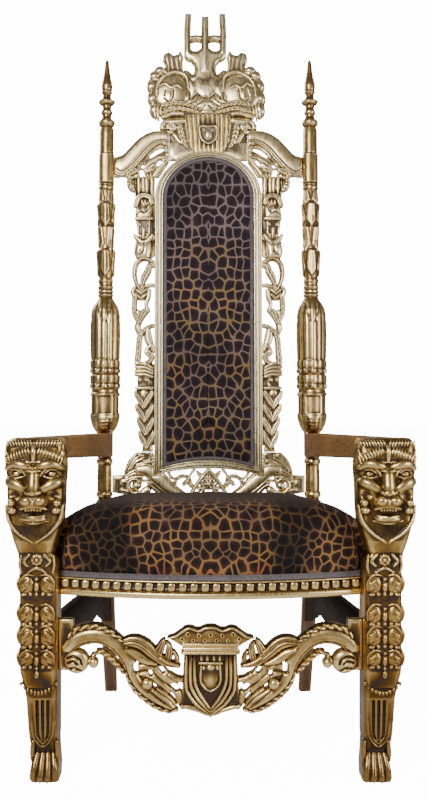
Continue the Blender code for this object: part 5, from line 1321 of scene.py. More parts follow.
bracket.stroke(mm((100, 1452, 6), (124, 1447, 13), (150, 1434, 15), (166, 1420, 8)), 0.005, 0.006,
               veined(0.0025, 0.12, 0.0))
bracket.stroke(mm((94, 1458, 7), (116, 1440, 6), (134, 1418, 6), (146, 1398, 6)), 0.004, 0.005)
bracket.stroke(mm((148, 1420, 5), (170, 1413, 6), (190, 1418, 6)), 0.005, 0.006)
bracket.stroke(mm((166, 1432, 7), (180, 1418, 7.5), (184, 1400, 7)), 0.005, 0.006, leafy(0.01))
bracket.plate(mm((136, 1411), (168, 1411), (168, 1385), (136, 1385)), 0.005, 0.0,
              lambda x, z, gap: 0.002 * np.cos(2 * np.pi * x / 0.0085))
bracket.stroke(mm((188, 1418, 7), (207, 1412, 9), (213, 1400, 7.5), (209, 1388, 6)), 0.006, 0.006,
               leafy(0.01))
for hole in (mm((120, 1475, 3.6), (136, 1469, 5.6), (153, 1457, 4.4)),
             mm((128, 1442, 4.6), (134, 1434.5, 5)), mm((172.7, 1430, 4.5), (174, 1428, 4.5)),
             mm((178, 1416, 5.5), (174, 1402, 6), (170, 1388, 5)), mm((193, 1399, 5.2), (193, 1390, 5.2))):
    bracket.pierce(hole)
bracket.edge = np.maximum(bracket.edge, frame_gap(bracket))
bracket.edge = np.maximum(bracket.edge, 0.1045 - bracket.x[:, None])
bracket.edge = np.maximum(bracket.edge,
                          np.maximum(bracket.x[:, None] - 0.2497, 1.3995 - bracket.z[None, :]))
bracket_right = bracket.carve("bracket_carving_right", PALE_GILDING, 0.012, 26000)
leant(bracket_right)
placed_twice(bracket_right, "bracket_carving_left", "gilding", "top_bracket")

# Openwork strips. Each runs down beside the frame: a capital with a curled leaf, a coronet, a small shield,
# C-scrolls with leaf tips, a ribbed knot and a chain of chevron leaves. Short bridges hold it to the frame.
strip = Board(0.13, 0.224, 0.668, 1.412, swell=1.24)
BASE, RISE = 0.0045, 0.008
strip.plate(mm((141.5, 1402), (206, 1402), (199, 1378), (194, 1345), (190, 1327), (141.5, 1327)), 0.0035,
            0.0, lambda x, z, gap: 0.0022 * np.cos(2 * np.pi * x / 0.0088))
strip.plate(mm((141.5, 1327), (190, 1327), (194, 1300), (190, 1262), (184, 1238), (194, 1226), (196, 1195),
               (190, 1180), (156, 1178), (141.5, 1190)), 0.001, 0.0)
strip.plate(mm((141.5, 905), (188, 905), (186, 842), (190, 832), (184, 790), (182, 755), (178, 715),
               (170, 690), (141.5, 690)), 0.001, 0.0)
for x, low in ((0.15, 1.336), (0.164, 1.35), (0.173, 1.35), (0.185, 1.345)):
    strip.stroke([(x, 1.402, 0.0032), (x - 0.001, 1.375, 0.004), (x, low, 0.003)], 0.006, 0.0045)
strip.stroke(mm((194, 1402, 6), (206, 1398, 6.5), (209.5, 1386, 6), (206, 1372, 6), (198, 1365, 4.5)),
             0.005, RISE, leafy(0.009))
strip.egg((0.203, 1.3745), (0.0085, 0.0095), 0.006, 0.007)
strip.stroke(mm((150, 1330, 5), (154, 1344, 5.5), (170, 1350, 5.5), (186, 1343, 6), (192, 1325, 6)), 0.006,
             0.007, reeded(3))
strip.egg((0.169, 1.329), (0.013, 0.011), -0.001, 0.004)
strip.plate(mm((150, 1318), (156, 1326), (164, 1312), (172, 1322), (180, 1312), (190, 1324), (193.5, 1300),
               (189, 1289), (150, 1289)), 0.006, 0.0045)
strip.groove(mm((154, 1322, 2), (168, 1303, 2.6), (178, 1308, 2.4), (190, 1298, 2)), 0.0045)
strip.stroke(mm((151, 1288, 3.8), (190, 1288, 3.8)), 0.009, 0.005)
strip.plate(mm((153, 1286), (188.5, 1286), (187, 1256), (183, 1240), (171, 1228), (158, 1240), (154, 1256)),
            0.005)
strip.stroke(mm((156, 1283, 1.8), (157, 1250, 1.8), (164, 1238, 1.8), (171, 1232, 1.8), (178, 1238, 1.8),
                (185, 1250, 1.8), (186, 1283, 1.8)), 0.006, 0.0022)
for x, z in ((0.16, 1.2735), (0.1815, 1.2725), (0.161, 1.2455), (0.181, 1.2435)):
    strip.egg((x, z), (0.0045, 0.005), 0.005, 0.005)
    strip.egg((x, z), (0.002, 0.0022), 0.005, 0.001)
strip.stroke(mm((171, 1260, 4), (171, 1235, 5)), 0.005, 0.0035)
strip.stroke(mm((148, 1244, 3), (156, 1233, 5), (171, 1224, 6), (186, 1233, 5.5), (194.5, 1244, 3.5)),
             0.007, 0.006)
strip.stroke(mm((136, 1243, 5), (152, 1234, 6)), 0.002, 0.005)
strip.plate(mm((152, 1226), (190, 1226), (196, 1210), (196, 1195), (190, 1183), (156, 1180), (152, 1200)),
            0.005, 0.008)
strip.groove(mm((170, 1222, 2.6), (173, 1200, 3), (185, 1190, 2)), 0.004)
strip.stroke(mm((147, 1172, 5), (160, 1180, 5), (176, 1180.5, 5.2), (189, 1170, 5.6), (194.5, 1150, 5.6),
                (193, 1128, 5.2), (185, 1108, 4.5), (176, 1096, 3.6)), BASE, RISE, reeded(2, 0.0024))
strip.stroke(mm((136, 1165, 6), (150, 1166, 8), (159, 1158, 6)), 0.003, 0.006)
strip.stroke(mm((156, 1162, 6), (160, 1148, 8), (168, 1134, 8), (174, 1116, 5.5), (174, 1098, 4)), BASE,
             0.007, leafy(0.011))
strip.stroke(mm((136, 1111, 4), (155, 1111, 5), (170, 1106, 6)), 0.003, 0.005)
strip.egg((0.177, 1.09), (0.0235, 0.02), 0.004, 0.006,
          lambda u, v, q: 0.002 * np.cos(9 * (v - np.abs(u) * 0.8)))
strip.stroke(mm((192, 1108, 4), (199, 1096, 5.5), (195.5, 1082, 5)), BASE, RISE)
strip.stroke(mm((156, 1096, 5), (158.5, 1078, 5.5), (164, 1062, 4.5), (160, 1046, 4.5)), BASE, RISE)
strip.stroke(mm((193, 1085, 6), (195, 1060, 6), (193.5, 1035, 6), (184, 1013, 5)), BASE, RISE, leafy(0.013))
strip.stroke(mm((160, 1045, 6), (170, 1038, 8.5), (176, 1024, 6), (180, 1012, 4)), BASE, RISE, leafy(0.009))
strip.stroke(mm((185, 1040, 6), (188, 1022, 6)), BASE, 0.006)
strip.plate(mm((176, 1013), (193, 1011), (195, 995), (186, 975), (178, 990)), 0.005, 0.006)
strip.stroke(mm((134, 1004, 4.2), (150, 1003, 5), (164, 996, 5.5), (174, 986, 6), (181, 970, 6.5),
                (183, 945, 6.5), (185, 920, 7), (186, 904, 6)), BASE, RISE, leafy(0.016))
strip.stroke(mm((160, 992, 7), (158, 970, 9.5), (151, 952, 7), (142, 936, 3.5)), BASE, 0.007)
strip.stroke(mm((151, 952, 6), (160, 943, 5), (164, 933, 4.5), (158, 927, 4)), BASE, RISE)
strip.stroke(mm((160, 938, 6), (151, 925, 7), (152, 912, 6), (164, 904, 6)), BASE, RISE, leafy(0.008))
strip.egg((0.16, 0.935), (0.005, 0.005), 0.007, 0.006)
strip.plate(mm((156, 908), (190, 906), (190, 890), (186, 870), (156, 870), (150, 880)), 0.005)
for z, tilt in ((0.902, 0.004), (0.893, 0.002), (0.884, 0.0), (0.875, 0.0)):
    strip.stroke([(0.147, z - tilt - 0.006, 0.003), (0.164, z, 0.004), (0.19, z + tilt, 0.0038)], 0.007,
                 0.005)
strip.plate(mm((156, 870), (185, 870), (184, 842), (155, 842)), 0.007)
for x in (0.1625, 0.1795):
    strip.egg((x, 0.8615), (0.0052, 0.0055), 0.0075, 0.004)
    strip.egg((x, 0.8615), (0.0025, 0.0028), 0.006, 0.001)
strip.stroke(mm((148, 840, 3.6), (188, 840, 3.6)), 0.009, 0.005)
for k, (top, wide, middle) in enumerate(((0.83, 0.021, 0.169), (0.795, 0.0205, 0.167), (0.76, 0.019, 0.164),
                                         (0.725, 0.018, 0.161))):
    strip.stroke([(middle, top - 0.004, 0.0085), (middle - 0.001, top - 0.045, 0.007)], 0.002, 0.004)
    for turn in (-1, 1):
        strip.stroke([(middle + turn * wide, top - 0.001, 0.0042),
                      (middle + turn * wide * 0.85, top - 0.01, 0.0058),
                      (middle + turn * 0.008, top - 0.024, 0.007), (middle, top - 0.041, 0.0036)],
                     BASE + 0.0015 * (k % 2), RISE, veined(0.0024, 0.16, 0.1))
    strip.stroke([(middle - wide * 0.7, top - 0.008, 0.005), (0.135, top - 0.006, 0.0045)], 0.002, 0.005)
strip.stroke(mm((159, 700, 9), (159, 676, 12), (162, 660, 14)), 0.002, 0.005)
strip.edge = np.maximum(strip.edge, frame_gap(strip))
strip.edge = np.maximum(strip.edge, np.maximum(0.673 - strip.z, strip.z - 1.4015)[None, :])
# Paler copy of the leaf for the openwork: partly its finish, partly painted light, painted more brightly lit
# than the legs.
STRIP_GILDING = gilding("strip_gilding", (0.07, 0.042, 0.018), (0.32, 0.205, 0.085), (0.64, 0.455, 0.205),
                        (0.96, 0.82, 0.5), 0.05, 0.3)
strip_right = strip.carve("openwork_carving_right", STRIP_GILDING, 0.012, 52000)
leant(strip_right)
placed_twice(strip_right, "openwork_carving_left", "gilding", "openwork")

# Lower back rail. A wide acanthus leaf turns at each corner, with folded leaves and a ball towards the post;
# thin tendrils round a flower fill the middle.
rail = Board(None, 0.256, 0.536, 0.69, swell=1.12)
rail.plate(mm((205, 614), (250.5, 612), (250.5, 568), (205, 560)), 0.005)
rail.plate(mm((150, 685), (180, 685), (190, 668), (200, 655), (210, 635), (222, 612), (200, 605),
              (170, 625), (140, 660)), 0.004, 0.0)
for start, end in (((0.18, 0.674), (0.216, 0.622)), ((0.176, 0.666), (0.208, 0.624)),
                   ((0.17, 0.658), (0.202, 0.628))):
    rail.stroke([(start[0], start[1], 0.004),
                 ((start[0] + end[0]) / 2 + 0.004, (start[1] + end[1]) / 2 + 0.002, 0.0055),
                 (end[0], end[1], 0.0036)], 0.006, 0.006)
rail.stroke(mm((159, 672, 3.5), (166, 683, 4.8), (176, 684, 5.2), (182, 674, 5), (177, 664, 4.5),
               (170, 664, 3.5)), 0.009, 0.006)
rail.stroke(mm((159, 672, 3.5), (150, 680, 5), (139, 676, 5), (133, 664, 5), (137, 654, 4.5),
               (145, 658, 4)), 0.009, 0.006)
rail.egg((0.139, 0.662), (0.006, 0.006), 0.009, 0.005)
rail.egg((0.1235, 0.646), (0.0085, 0.01), 0.007, 0.007)
rail.egg((0.14, 0.639), (0.0085, 0.0115), 0.007, 0.007)
rail.stroke(mm((151, 648, 6), (180, 642, 8), (210, 630, 4)), 0.005, 0.006, reeded(2))
rail.stroke(mm((180, 627, 12), (156, 624, 16.5), (130, 603, 17), (105, 582, 16), (82, 568, 12),
               (58, 556, 8)), 0.008, 0.008, veined(0.0022, 0.08, 0.72, -0.78))
rail.stroke(mm((127, 623, 4.2), (108, 604, 4.5), (88, 582, 4)), 0.007, 0.006)
for k in range(4):
    rail.stroke([(0.173, 0.626 - 0.0085 * k, 0.0036), (0.194, 0.624 - 0.008 * k, 0.005),
                 (0.216, 0.611 - 0.005 * k, 0.0034)], 0.006, 0.0055)
rail.stroke(mm((175, 594, 3), (188, 603, 4.4), (204, 598, 5.2), (208, 582, 5.6), (196, 568, 6),
               (183, 569, 4)), 0.008, 0.006)
rail.egg((0.1867, 0.586), (0.013, 0.0125), 0.005, 0.01)
rail.stroke(mm((186, 564, 5), (205, 570, 6.2), (225, 576, 6)), 0.007, 0.006)
rail.egg((0.22, 0.596), (0.012, 0.01), 0.006, 0.006)
rail.stroke(mm((164, 596, 6), (143, 586, 9.5), (120, 566, 10), (102, 552, 6)), 0.005, 0.006,
            veined(0.0025, 0.12, 0.0))
rail.stroke(mm((160, 574, 10), (170, 566, 9), (172, 552, 4)), 0.001, 0.005)
rail.stroke(mm((2, 626, 4), (20, 603, 5), (35, 582, 5), (50, 556, 5.5)), 0.006, 0.006)
rail.stroke(mm((45, 590, 4.2), (52, 606, 4.8), (70, 610, 5), (86, 598, 5), (86, 580, 5), (72, 564, 5.5)),
            0.005, 0.006, leafy(0.011))
rail.stroke(mm((45, 586, 6), (56, 596, 6), (64, 590, 5.5)), 0.005, 0.006, leafy(0.009))
rail.stroke(mm((50, 606, 3), (46, 616, 3.2), (38, 626, 4)), 0.003, 0.005)
rail.stroke(mm((82, 602, 3.6), (96, 606, 3.6), (104, 618, 4)), 0.003, 0.005)
rail.stroke(mm((10, 604, 7), (22, 613, 6), (30, 622, 3)), 0.005, 0.006, leafy(0.009))
rail.stroke(mm((24, 596, 5), (14, 586, 6), (16, 572, 6), (30, 562, 6)), 0.005, 0.006)
rail.egg((0.023, 0.579), (0.008, 0.0055), 0.007, 0.006)
rail.plate(mm((0, 570), (40, 570), (64, 550), (150, 548), (150, 538), (0, 538)), 0.003)
rail.egg((0.0, 0.59), (0.0145, 0.0165), 0.006, 0.007, lambda u, v, q: 0.0022 * np.cos(6 * np.arctan2(v, u))
         * q)
rail.egg((0.0, 0.59), (0.0052, 0.0055), 0.011, 0.005)
rail.stroke(mm((0, 604, 8), (0, 620, 6), (0, 634, 4)), 0.005, 0.006, leafy(0.01))
rail.pierce(mm((164.8, 590, 5), (166, 590, 5)))
rail.edge = np.maximum(rail.edge, frame_gap(rail))
rail.edge = np.maximum(rail.edge,
                       np.maximum(rail.x[:, None] - 0.2505,
                                  np.maximum(rail.z - 0.672, 0.545 - rail.z)[None, :]))
rail_board = rail.carve("lower_rail_carving", PALE_GILDING, 0.013, 82000)
leant(rail_board)
placed(rail_board, "gilding", "lower_back_rail")

# Seat rails. The front rail is bowed, with a rounded fillet below and a hollow that holds a row of upright
# eggs between two lines; the side and back rails are plain stained boards, dark brown deepened by painted
# shade.
RAIL_LOW, RAIL_TOP = 0.387, 0.4245
LEG_FACE = 0.3217


def bow_y(x):
    return -0.285 - 0.06 * (1 - (x / 0.322) ** 2)


def bowed(name, section, finish, along=97, reach=LEG_FACE):
    """A section of (inward, z) carried along the bow of the seat."""
    points = [(x, bow_y(x) + inward, z) for x in np.linspace(-reach, reach, along) for inward, z in section]
    return tube(name, points, len(section), finish)


RAIL_SECTION = [(0.0255, RAIL_LOW), (0.001, RAIL_LOW), (-0.002, 0.388), (-0.0034, 0.3905), (-0.004, 0.394),
                (-0.0036, 0.3975), (-0.0022, 0.4), (0.0008, 0.401), (0.0012, 0.4022), (0.005, 0.404),
                (0.007, 0.409), (0.0072, 0.415), (0.0052, 0.4195), (0.002, 0.421), (0.0012, 0.4222),
                (0.0018, 0.424), (0.003, RAIL_TOP), (0.0255, RAIL_TOP)]
rail_front = bowed("front_rail_moulding", RAIL_SECTION, AMBER_GILDING)
marked_for_wear_and_shade(rail_front, 0.0016)
placed(rail_front, "gilding", "seat_rail_front")

EGG_PITCH = 0.0228


def egg_row(name, finish):
    """Eggs set out along the bow by equal steps."""
    tree = bpy.data.node_groups.new("Egg row", "GeometryNodeTree")
    tree.interface.new_socket("Geometry", in_out="INPUT", socket_type="NodeSocketGeometry")
    tree.interface.new_socket("Pitch", in_out="INPUT", socket_type="NodeSocketFloat")
    tree.interface.new_socket("Geometry", in_out="OUTPUT", socket_type="NodeSocketGeometry")
    entry, leave = tree.nodes.new("NodeGroupInput"), tree.nodes.new("NodeGroupOutput")
    line, step, block, ball, shape, spread, real, coat, smooth = (
        tree.nodes.new("GeometryNode" + kind)
        for kind in ("MeshToCurve", "ResampleCurve", "MeshCube", "SubdivisionSurface", "Transform",
                     "InstanceOnPoints", "RealizeInstances", "SetMaterial", "SetShadeSmooth"))
    step.mode = "LENGTH"
    block.inputs["Size"].default_value = (2.1, 2.1, 2.1)
    ball.inputs["Level"].default_value, ball.inputs["Edge Crease"].default_value = 3, 0.25
    shape.inputs["Scale"].default_value = (0.0086, 0.0062, 0.0094)
    coat.inputs["Material"].default_value = finish
    link(tree, [(entry.outputs["Geometry"], line.inputs["Mesh"]),
                (line.outputs["Curve"], step.inputs["Curve"]),
                (entry.outputs["Pitch"], step.inputs["Length"]),
                (step.outputs["Curve"], spread.inputs["Points"]),
                (block.outputs["Mesh"], ball.inputs["Mesh"]),
                (ball.outputs["Mesh"], shape.inputs["Geometry"]),
                (shape.outputs["Geometry"], spread.inputs["Instance"]),
                (spread.outputs["Instances"], smooth.inputs["Geometry"]),
                (smooth.outputs["Geometry"], real.inputs["Geometry"]),
                (real.outputs["Geometry"], coat.inputs["Geometry"]),
                (coat.outputs["Geometry"], leave.inputs["Geometry"])])
    mesh = bpy.data.meshes.new(name)
    along = np.linspace(-0.309, 0.309, 121)
    mesh.from_pydata([(x, bow_y(x) + 0.0042, 0.412) for x in along], [(k, k + 1) for k in range(120)], [])
    obj = stood(name, mesh)
    grow = obj.modifiers.new("Row", "NODES")
    grow.node_group = tree
    grow[next(item.identifier for item in tree.interface.items_tree if item.name == "Pitch")] = EGG_PITCH
    settled(obj)
    return obj


eggs = egg_row("front_rail_eggs", AMBER_GILDING)
# Painted light: the faces of the eggs that look forward are marked as ridges and painted pale as a highlight,
# the rest darker as shade.
kept = eggs.data.attributes.new("relief", "FLOAT", "POINT")
kept.data.foreach_set("value", [0.85 if v.normal.y < -0.7 else 0.4 for v in eggs.data.vertices])
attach(eggs, "root")


def board(name, finish, corners):
    """A plain board between two ends, with softened long edges."""
    bm = bmesh.new()
    rings = [[bm.verts.new(p) for p in ring] for ring in corners]
    for i in range(4):
        j = (i + 1) % 4
        bm.faces.new((rings[0][i], rings[0][j], rings[1][j], rings[1][i]))
    bm.faces.new(rings[0][::-1])
    bm.faces.new(rings[1])
    bmesh.ops.recalc_face_normals(bm, faces=bm.faces)
    bmesh.ops.bevel(bm, geom=bm.edges[:], offset=0.0012, segments=2, affect="EDGES")
    mesh = bpy.data.meshes.new(name)
    bm.to_mesh(mesh)
    bm.free()
    mesh.materials.append(finish)
    return stood(name, mesh)


side_ends = []
for outer, y_at in ((0.353, lambda z: LEG_BACK + JOINT_GAP), (0.291, lambda z: float(post_y(z)) - 0.0208)):
    side_ends.append([(x, y_at(z), z)
                      for x, z in ((outer, RAIL_LOW), (outer, RAIL_TOP), (outer - 0.024, RAIL_TOP),
                                   (outer - 0.024, RAIL_LOW))])
side_rail = board("side_rail_board_right", SHADED_WOOD, side_ends)
placed_twice(side_rail, "side_rail_board_left", "brown_gilding", "seat_rail")
back_ends = [[(x, float(post_y(z)) + inward, z) for z, inward in ((RAIL_LOW, -0.012), (RAIL_TOP, -0.012),
                  (RAIL_TOP, 0.012), (RAIL_LOW, 0.012))] for x in (-0.2497, 0.2497)]
placed(board("back_rail_board", SHADED_WOOD, back_ends), "brown_gilding", "seat_rail_back")

# Seat cushion. Coil-stuffed and drawn down to the rails all round: a firm rolled edge, notched round the
# front legs, pulled in over the braid, and crowned towards the middle. Same leopard velvet, more worn and
# darker on both sides of the middle; over the rear of the top a dark grey-brown veil is painted sheen of the
# pile seen edge-on, and hides the print.
CUSHION_LOW = 0.4248
SEAT_MIDDLE = (0.0, -0.075)


def seat_line(inset):
    """Plan of the seat, from the left notch along the front and round by the back."""
    notch_x, notch_y = 0.3217 - inset, LEG_BACK + JOINT_GAP + inset
    front = [(x, bow_y(x) + 0.004 + inset) for x in np.linspace(-notch_x, notch_x, 65)]
    rear_y, front_x, rear_x = 0.12 - inset, 0.355 - inset, 0.293 - inset
    side = [(notch_x, y) for y in np.linspace(front[-1][1], notch_y, 10)[1:]]
    side += [(x, notch_y) for x in np.linspace(notch_x, front_x, 8)[1:]]
    side += [(front_x + (rear_x - front_x) * t + 0.004 * math.sin(math.pi * t),
              notch_y + (rear_y - notch_y) * t) for t in np.linspace(0, 1, 34)[1:]]
    rear = [(x, rear_y) for x in np.linspace(rear_x, -rear_x, 50)[1:-1]]
    return np.array(front + side + rear + [(-x, y) for x, y in side[::-1]])


def seat_cushion():
    """Starting shape of the cover: the plan drawn in ring by ring to the crown."""
    plan = seat_line(0.0036)
    rings = []
    for share, z, pull in ((0.3, CUSHION_LOW + 0.004, 0.0), (0.0, CUSHION_LOW, 0.003), (0.0, 0.439, 0.0022),
                           (0.0, 0.446, -0.0005), (0.0, 0.456, -0.0012), (0.0, 0.472, 0.0),
                           (0.006, 0.489, 0.0), (0.014, 0.506, 0.0), (0.026, 0.521, 0.0),
                           (0.042, 0.5325, 0.0), (0.064, 0.541, 0.0), (0.092, 0.5476, 0.0),
                           (0.125, 0.553, 0.0), (0.165, 0.5577, 0.0), (0.21, 0.5618, 0.0),
                           (0.27, 0.5656, 0.0), (0.34, 0.569, 0.0), (0.42, 0.5717, 0.0),
                           (0.52, 0.5737, 0.0), (0.63, 0.5749, 0.0), (0.75, 0.5756, 0.0),
                           (0.88, 0.5759, 0.0)):
        line = plan + (np.array(SEAT_MIDDLE) - plan) * share
        inward = np.array(SEAT_MIDDLE) - line
        line = line + inward / np.linalg.norm(inward, axis=1)[:, None] * pull
        rings.append(np.column_stack([line, np.full(len(line), z)]))
    return tube("seat_cover", np.concatenate(rings), len(plan), None)


def stuffed(obj, held, rise, spread):
    """Fill a cover by simulation: even pressure inside, held along its foot; how far it moves is capped."""
    evened = obj.modifiers.new("Even", "REMESH")
    evened.mode, evened.voxel_size = "VOXEL", 0.0055
    result = settled(obj)
    start = np.array([v.co for v in result.vertices])
    pins = obj.vertex_groups.new(name="held")
    pins.add([int(k) for k in np.flatnonzero(start[:, 2] < held)], 1.0, "REPLACE")
    cloth = obj.modifiers.new("Cover", "CLOTH")
    cloth.settings.vertex_group_mass = "held"
    cloth.settings.use_pressure, cloth.settings.uniform_pressure_force = True, 4.0
    cloth.settings.effector_weights.gravity = 0.0
    cloth.settings.quality = 5
    cloth.point_cache.frame_start, cloth.point_cache.frame_end = 1, 20
    for frame in range(1, 21):
        bpy.context.scene.frame_set(frame)
    swelled = bpy.data.meshes.new_from_object(obj.evaluated_get(bpy.context.evaluated_depsgraph_get()))
    moved = np.array([v.co for v in swelled.vertices]) - start
    flat = np.hypot(moved[:, 0], moved[:, 1])
    moved[:, :2] *= np.minimum(1.0, spread / np.maximum(flat, 1e-9))[:, None]
    moved[:, 2] = np.clip(moved[:, 2], -rise, rise)
    obj.modifiers.clear()
    obj.vertex_groups.clear()
    bpy.context.scene.frame_set(1)
    result.vertices.foreach_set("co", (start + moved).astype(np.float32).ravel())
    drawn = obj.modifiers.new("Drawn tight", "SMOOTH")
    drawn.factor, drawn.iterations = 0.5, 3
    settled(obj).shade_smooth()


# Its last pair of heights lays the painted sheen veil over the rear of the top.
LEOPARD_SEAT = leopard("leopard_seat", 0.0215, 1.25, 0.09,
                       [(0.32, (0.15, 0.085, 0.05)), (0.48, (0.215, 0.118, 0.054)),
                        (0.58, (0.27, 0.14, 0.04)), (0.72, (0.24, 0.064, 0.034))],
                       [(0.1, (0.009, 0.0045, 0.004)), (0.36, (0.026, 0.0095, 0.007)),
                        (0.6, (0.05, 0.017, 0.011))],
                       [(-0.36, 0.9), (-0.315, 0.75), (-0.285, 0.22), (-0.185, 0.18), (-0.15, 0.9),
                        (0.12, 0.9), (0.155, 0.18), (0.2, 0.2), (0.24, 0.8), (0.36, 0.85)], (0.9, 1.0),
                       (0.15, 0.24))
cushion = seat_cushion()
stuffed(cushion, 0.45, 0.006, 0.0015)
cushion.data.materials.clear()
cushion.data.materials.append(LEOPARD_SEAT)
printed(cushion, lambda co, out: (co.x + 1.1 * out.x * max(0.53 - co.z, 0.0),
                                  co.y + 1.1 * out.y * max(0.53 - co.z, 0.0) + 0.4, 0.0))
placed(cushion, "leopard_velvet", "seat_cushion")

# Seat braid. The same grey braid round the foot of the cover.
SEAT_BRAID = [(0.003, 0.425), (0.0006, 0.4254), (0.0, 0.4264), (0.0006, 0.4276), (0.0012, 0.4282),
              (0.0005, 0.431), (0.0012, 0.434), (0.0006, 0.4346), (0.0, 0.4358), (0.0006, 0.437),
              (0.003, 0.4373)]
rows = [np.column_stack([seat_line(inset), np.full(len(seat_line(0.0)), z)]) for inset, z in SEAT_BRAID]
seat_braid = tube("seat_braid_band", np.concatenate(rows), len(rows[0]), BRAID_GREY, caps=False)
placed(seat_braid, "grey_braid", "seat_braid")

# Front stretcher. From each end block a ball scroll rolls out under a broad S-scroll with a corded upper
# edge, which runs down through fluted leaves to a crowned, fluted shield in the middle.
apron = Board(None, 0.328, 0.122, 0.342, 0.0012, 1.05)
apron.plate(mm((291, 337.5), (322.5, 337.5), (322.5, 228), (291, 228)), 0.01)
apron.stroke(mm((302, 275, 13), (286, 290, 16), (265, 298.5, 16.5), (240, 300.5, 16.5), (215, 293, 16.5),
                (193, 276, 16.5), (176, 252, 15.5), (169, 232, 14), (162, 212, 13), (148, 193, 12.5),
                (125, 174, 11), (102, 160, 9), (82, 154, 7)), 0.01, 0.008,
             lambda q, s, way: np.where(q > 0.55, -0.004, 0.0) - 0.0025 * np.exp(-((q - 0.55) / 0.07) ** 2))
apron.stroke(mm((300, 300, 5), (286, 314, 6.2), (266, 320.5, 6.8), (242, 321.5, 7), (218, 314, 6.8),
                (198, 301, 6), (186, 292, 4)), 0.011, 0.008, twisted(0.0185))
apron.stroke(mm((179, 225, 3.5), (172, 206, 6.2), (158, 185, 6.8), (137, 166, 6.8), (112, 149, 6.2),
                (90, 142, 5.5), (72, 144, 4)), 0.008, 0.008, twisted(0.017))
apron.egg((0.2835, 0.2475), (0.0262, 0.0258), 0.01, 0.011)
for rows in (mm((304, 256, 3), (290, 260, 3.6), (276, 254, 3.4), (272, 244, 2.8)),
             mm((303, 246, 3), (290, 250, 3.4), (281, 244, 2.8)),
             mm((298, 234, 3), (286, 235, 3.6), (274, 229, 2.8))):
    apron.groove(rows, 0.005)
apron.egg((0.2485, 0.243), (0.0105, 0.0115), 0.006, 0.008)
apron.stroke(mm((256, 246, 6), (245, 264, 6), (230, 266, 6.6), (215, 256, 6.8), (200, 242, 6.6),
                (185, 225, 6)), 0.007, 0.007, twisted(0.015))
apron.stroke(mm((190, 286, 8), (165, 290, 13), (143, 283, 14), (121, 264, 12.5), (98, 247, 9.5),
                (68, 237, 5)), 0.0085, 0.008, lambda q, s, way: -0.0028 * np.exp(-((q + 0.05) / 0.12) ** 2)
             - 0.0016 * (1 - np.abs(np.cos(4.5 * q))))
apron.stroke(mm((180, 272, 6), (162, 264, 10.5), (138, 250, 9), (116, 243, 4)), 0.01, 0.008)
apron.stroke(mm((112, 258, 9), (108, 272, 10), (102, 286, 7), (98.5, 293.5, 3)), 0.007, 0.007, reeded(3))
apron.stroke(mm((92, 248, 8), (88, 264, 8.5), (88, 278, 6), (92, 287, 3)), 0.007, 0.007, reeded(3))
apron.stroke(mm((106, 256, 4), (90, 246, 4), (70, 240, 3.6)), 0.012, 0.006)
apron.stroke(mm((72, 242, 6), (72, 254, 5.5), (78, 268, 3)), 0.007, 0.006, reeded(3))
apron.stroke(mm((162, 226, 6), (152, 235, 7), (138, 237, 6), (124, 233, 6)), 0.007, 0.006)
apron.stroke(mm((122, 236, 8), (108, 226, 12), (92, 212, 12), (76, 202, 8)), 0.006, 0.006)
apron.stroke(mm((148, 220, 6), (130, 218, 8), (108, 202, 9), (90, 186, 8)), 0.005, 0.006)
apron.egg((0.1352, 0.199), (0.014, 0.0135), 0.01, 0.01)
apron.stroke(mm((123, 188, 4.5), (106, 176, 6.2), (90, 164, 6), (78, 153, 4)), 0.013, 0.007)
apron.stroke(mm((130, 182, 4), (114, 169, 5.5), (98, 157, 5.5), (84, 149, 3.5)), 0.011, 0.007)
apron.stroke(mm((112, 190, 3.6), (96, 178, 5), (82, 166, 4.5), (74, 156, 3)), 0.011, 0.006)
apron.stroke(mm((86, 218, 6), (74, 210, 7), (62, 208, 6)), 0.006, 0.006)
apron.stroke(mm((78, 188, 8), (69, 178, 8.5), (64, 162, 8), (58, 150, 6)), 0.006, 0.006)
apron.plate(mm((0, 130), (30, 142), (56, 148), (62, 164), (60, 200), (56, 270), (0, 270)), 0.01)
for k, (reach, foot) in enumerate(((0.0515, 0.176), (0.0425, 0.184), (0.0335, 0.192))):
    apron.stroke([(reach, 0.266, 0.0036), (reach, foot + 0.026, 0.0038),
                  (reach * 0.9, foot + 0.004, 0.0038), (reach * 0.55, foot - 0.02, 0.0038),
                  (0.002 + 0.001 * k, foot - 0.04, 0.0034)], 0.0125, 0.005)
for x in (0.007, 0.0195):
    apron.stroke([(x, 0.268, 0.0036), (x, 0.252, 0.0036)], 0.011, 0.004)
apron.plate(mm((0, 248), (23.5, 248), (24, 206), (13, 190), (0, 182)), 0.0115, 0.003)
apron.stroke(mm((0, 245.5, 2.6), (23.5, 245.5, 2.6)), 0.015, 0.0035)
apron.stroke(mm((20, 238, 2.8), (20.5, 208, 2.8), (12, 193, 2.6), (0, 186, 2.6)), 0.014, 0.0035)
apron.egg((0.0, 0.235), (0.008, 0.0055), 0.013, 0.004)
apron.egg((0.0145, 0.234), (0.0032, 0.0045), 0.013, 0.004)
apron.egg((0.0, 0.21), (0.01, 0.015), 0.012, 0.004)
apron.stroke(mm((0, 148, 5), (0, 134, 5)), 0.011, 0.006)
apron.stroke(mm((8, 136, 4), (24, 144, 5), (42, 150, 6), (60, 154, 4.5)), 0.011, 0.007)
apron.plate(mm((0, 264), (58, 264), (60, 271.5), (60, 278), (0, 278)), 0.014)
apron.stroke(mm((0, 267, 4), (59, 267, 4)), 0.015, 0.005)
apron.plate(mm((0, 278), (58, 278), (72, 286), (93, 298.5), (75, 306), (64, 313), (56, 321), (45, 323.5),
               (33, 318), (22, 319), (10, 324.5), (0, 325.5)), 0.011, 0.005)
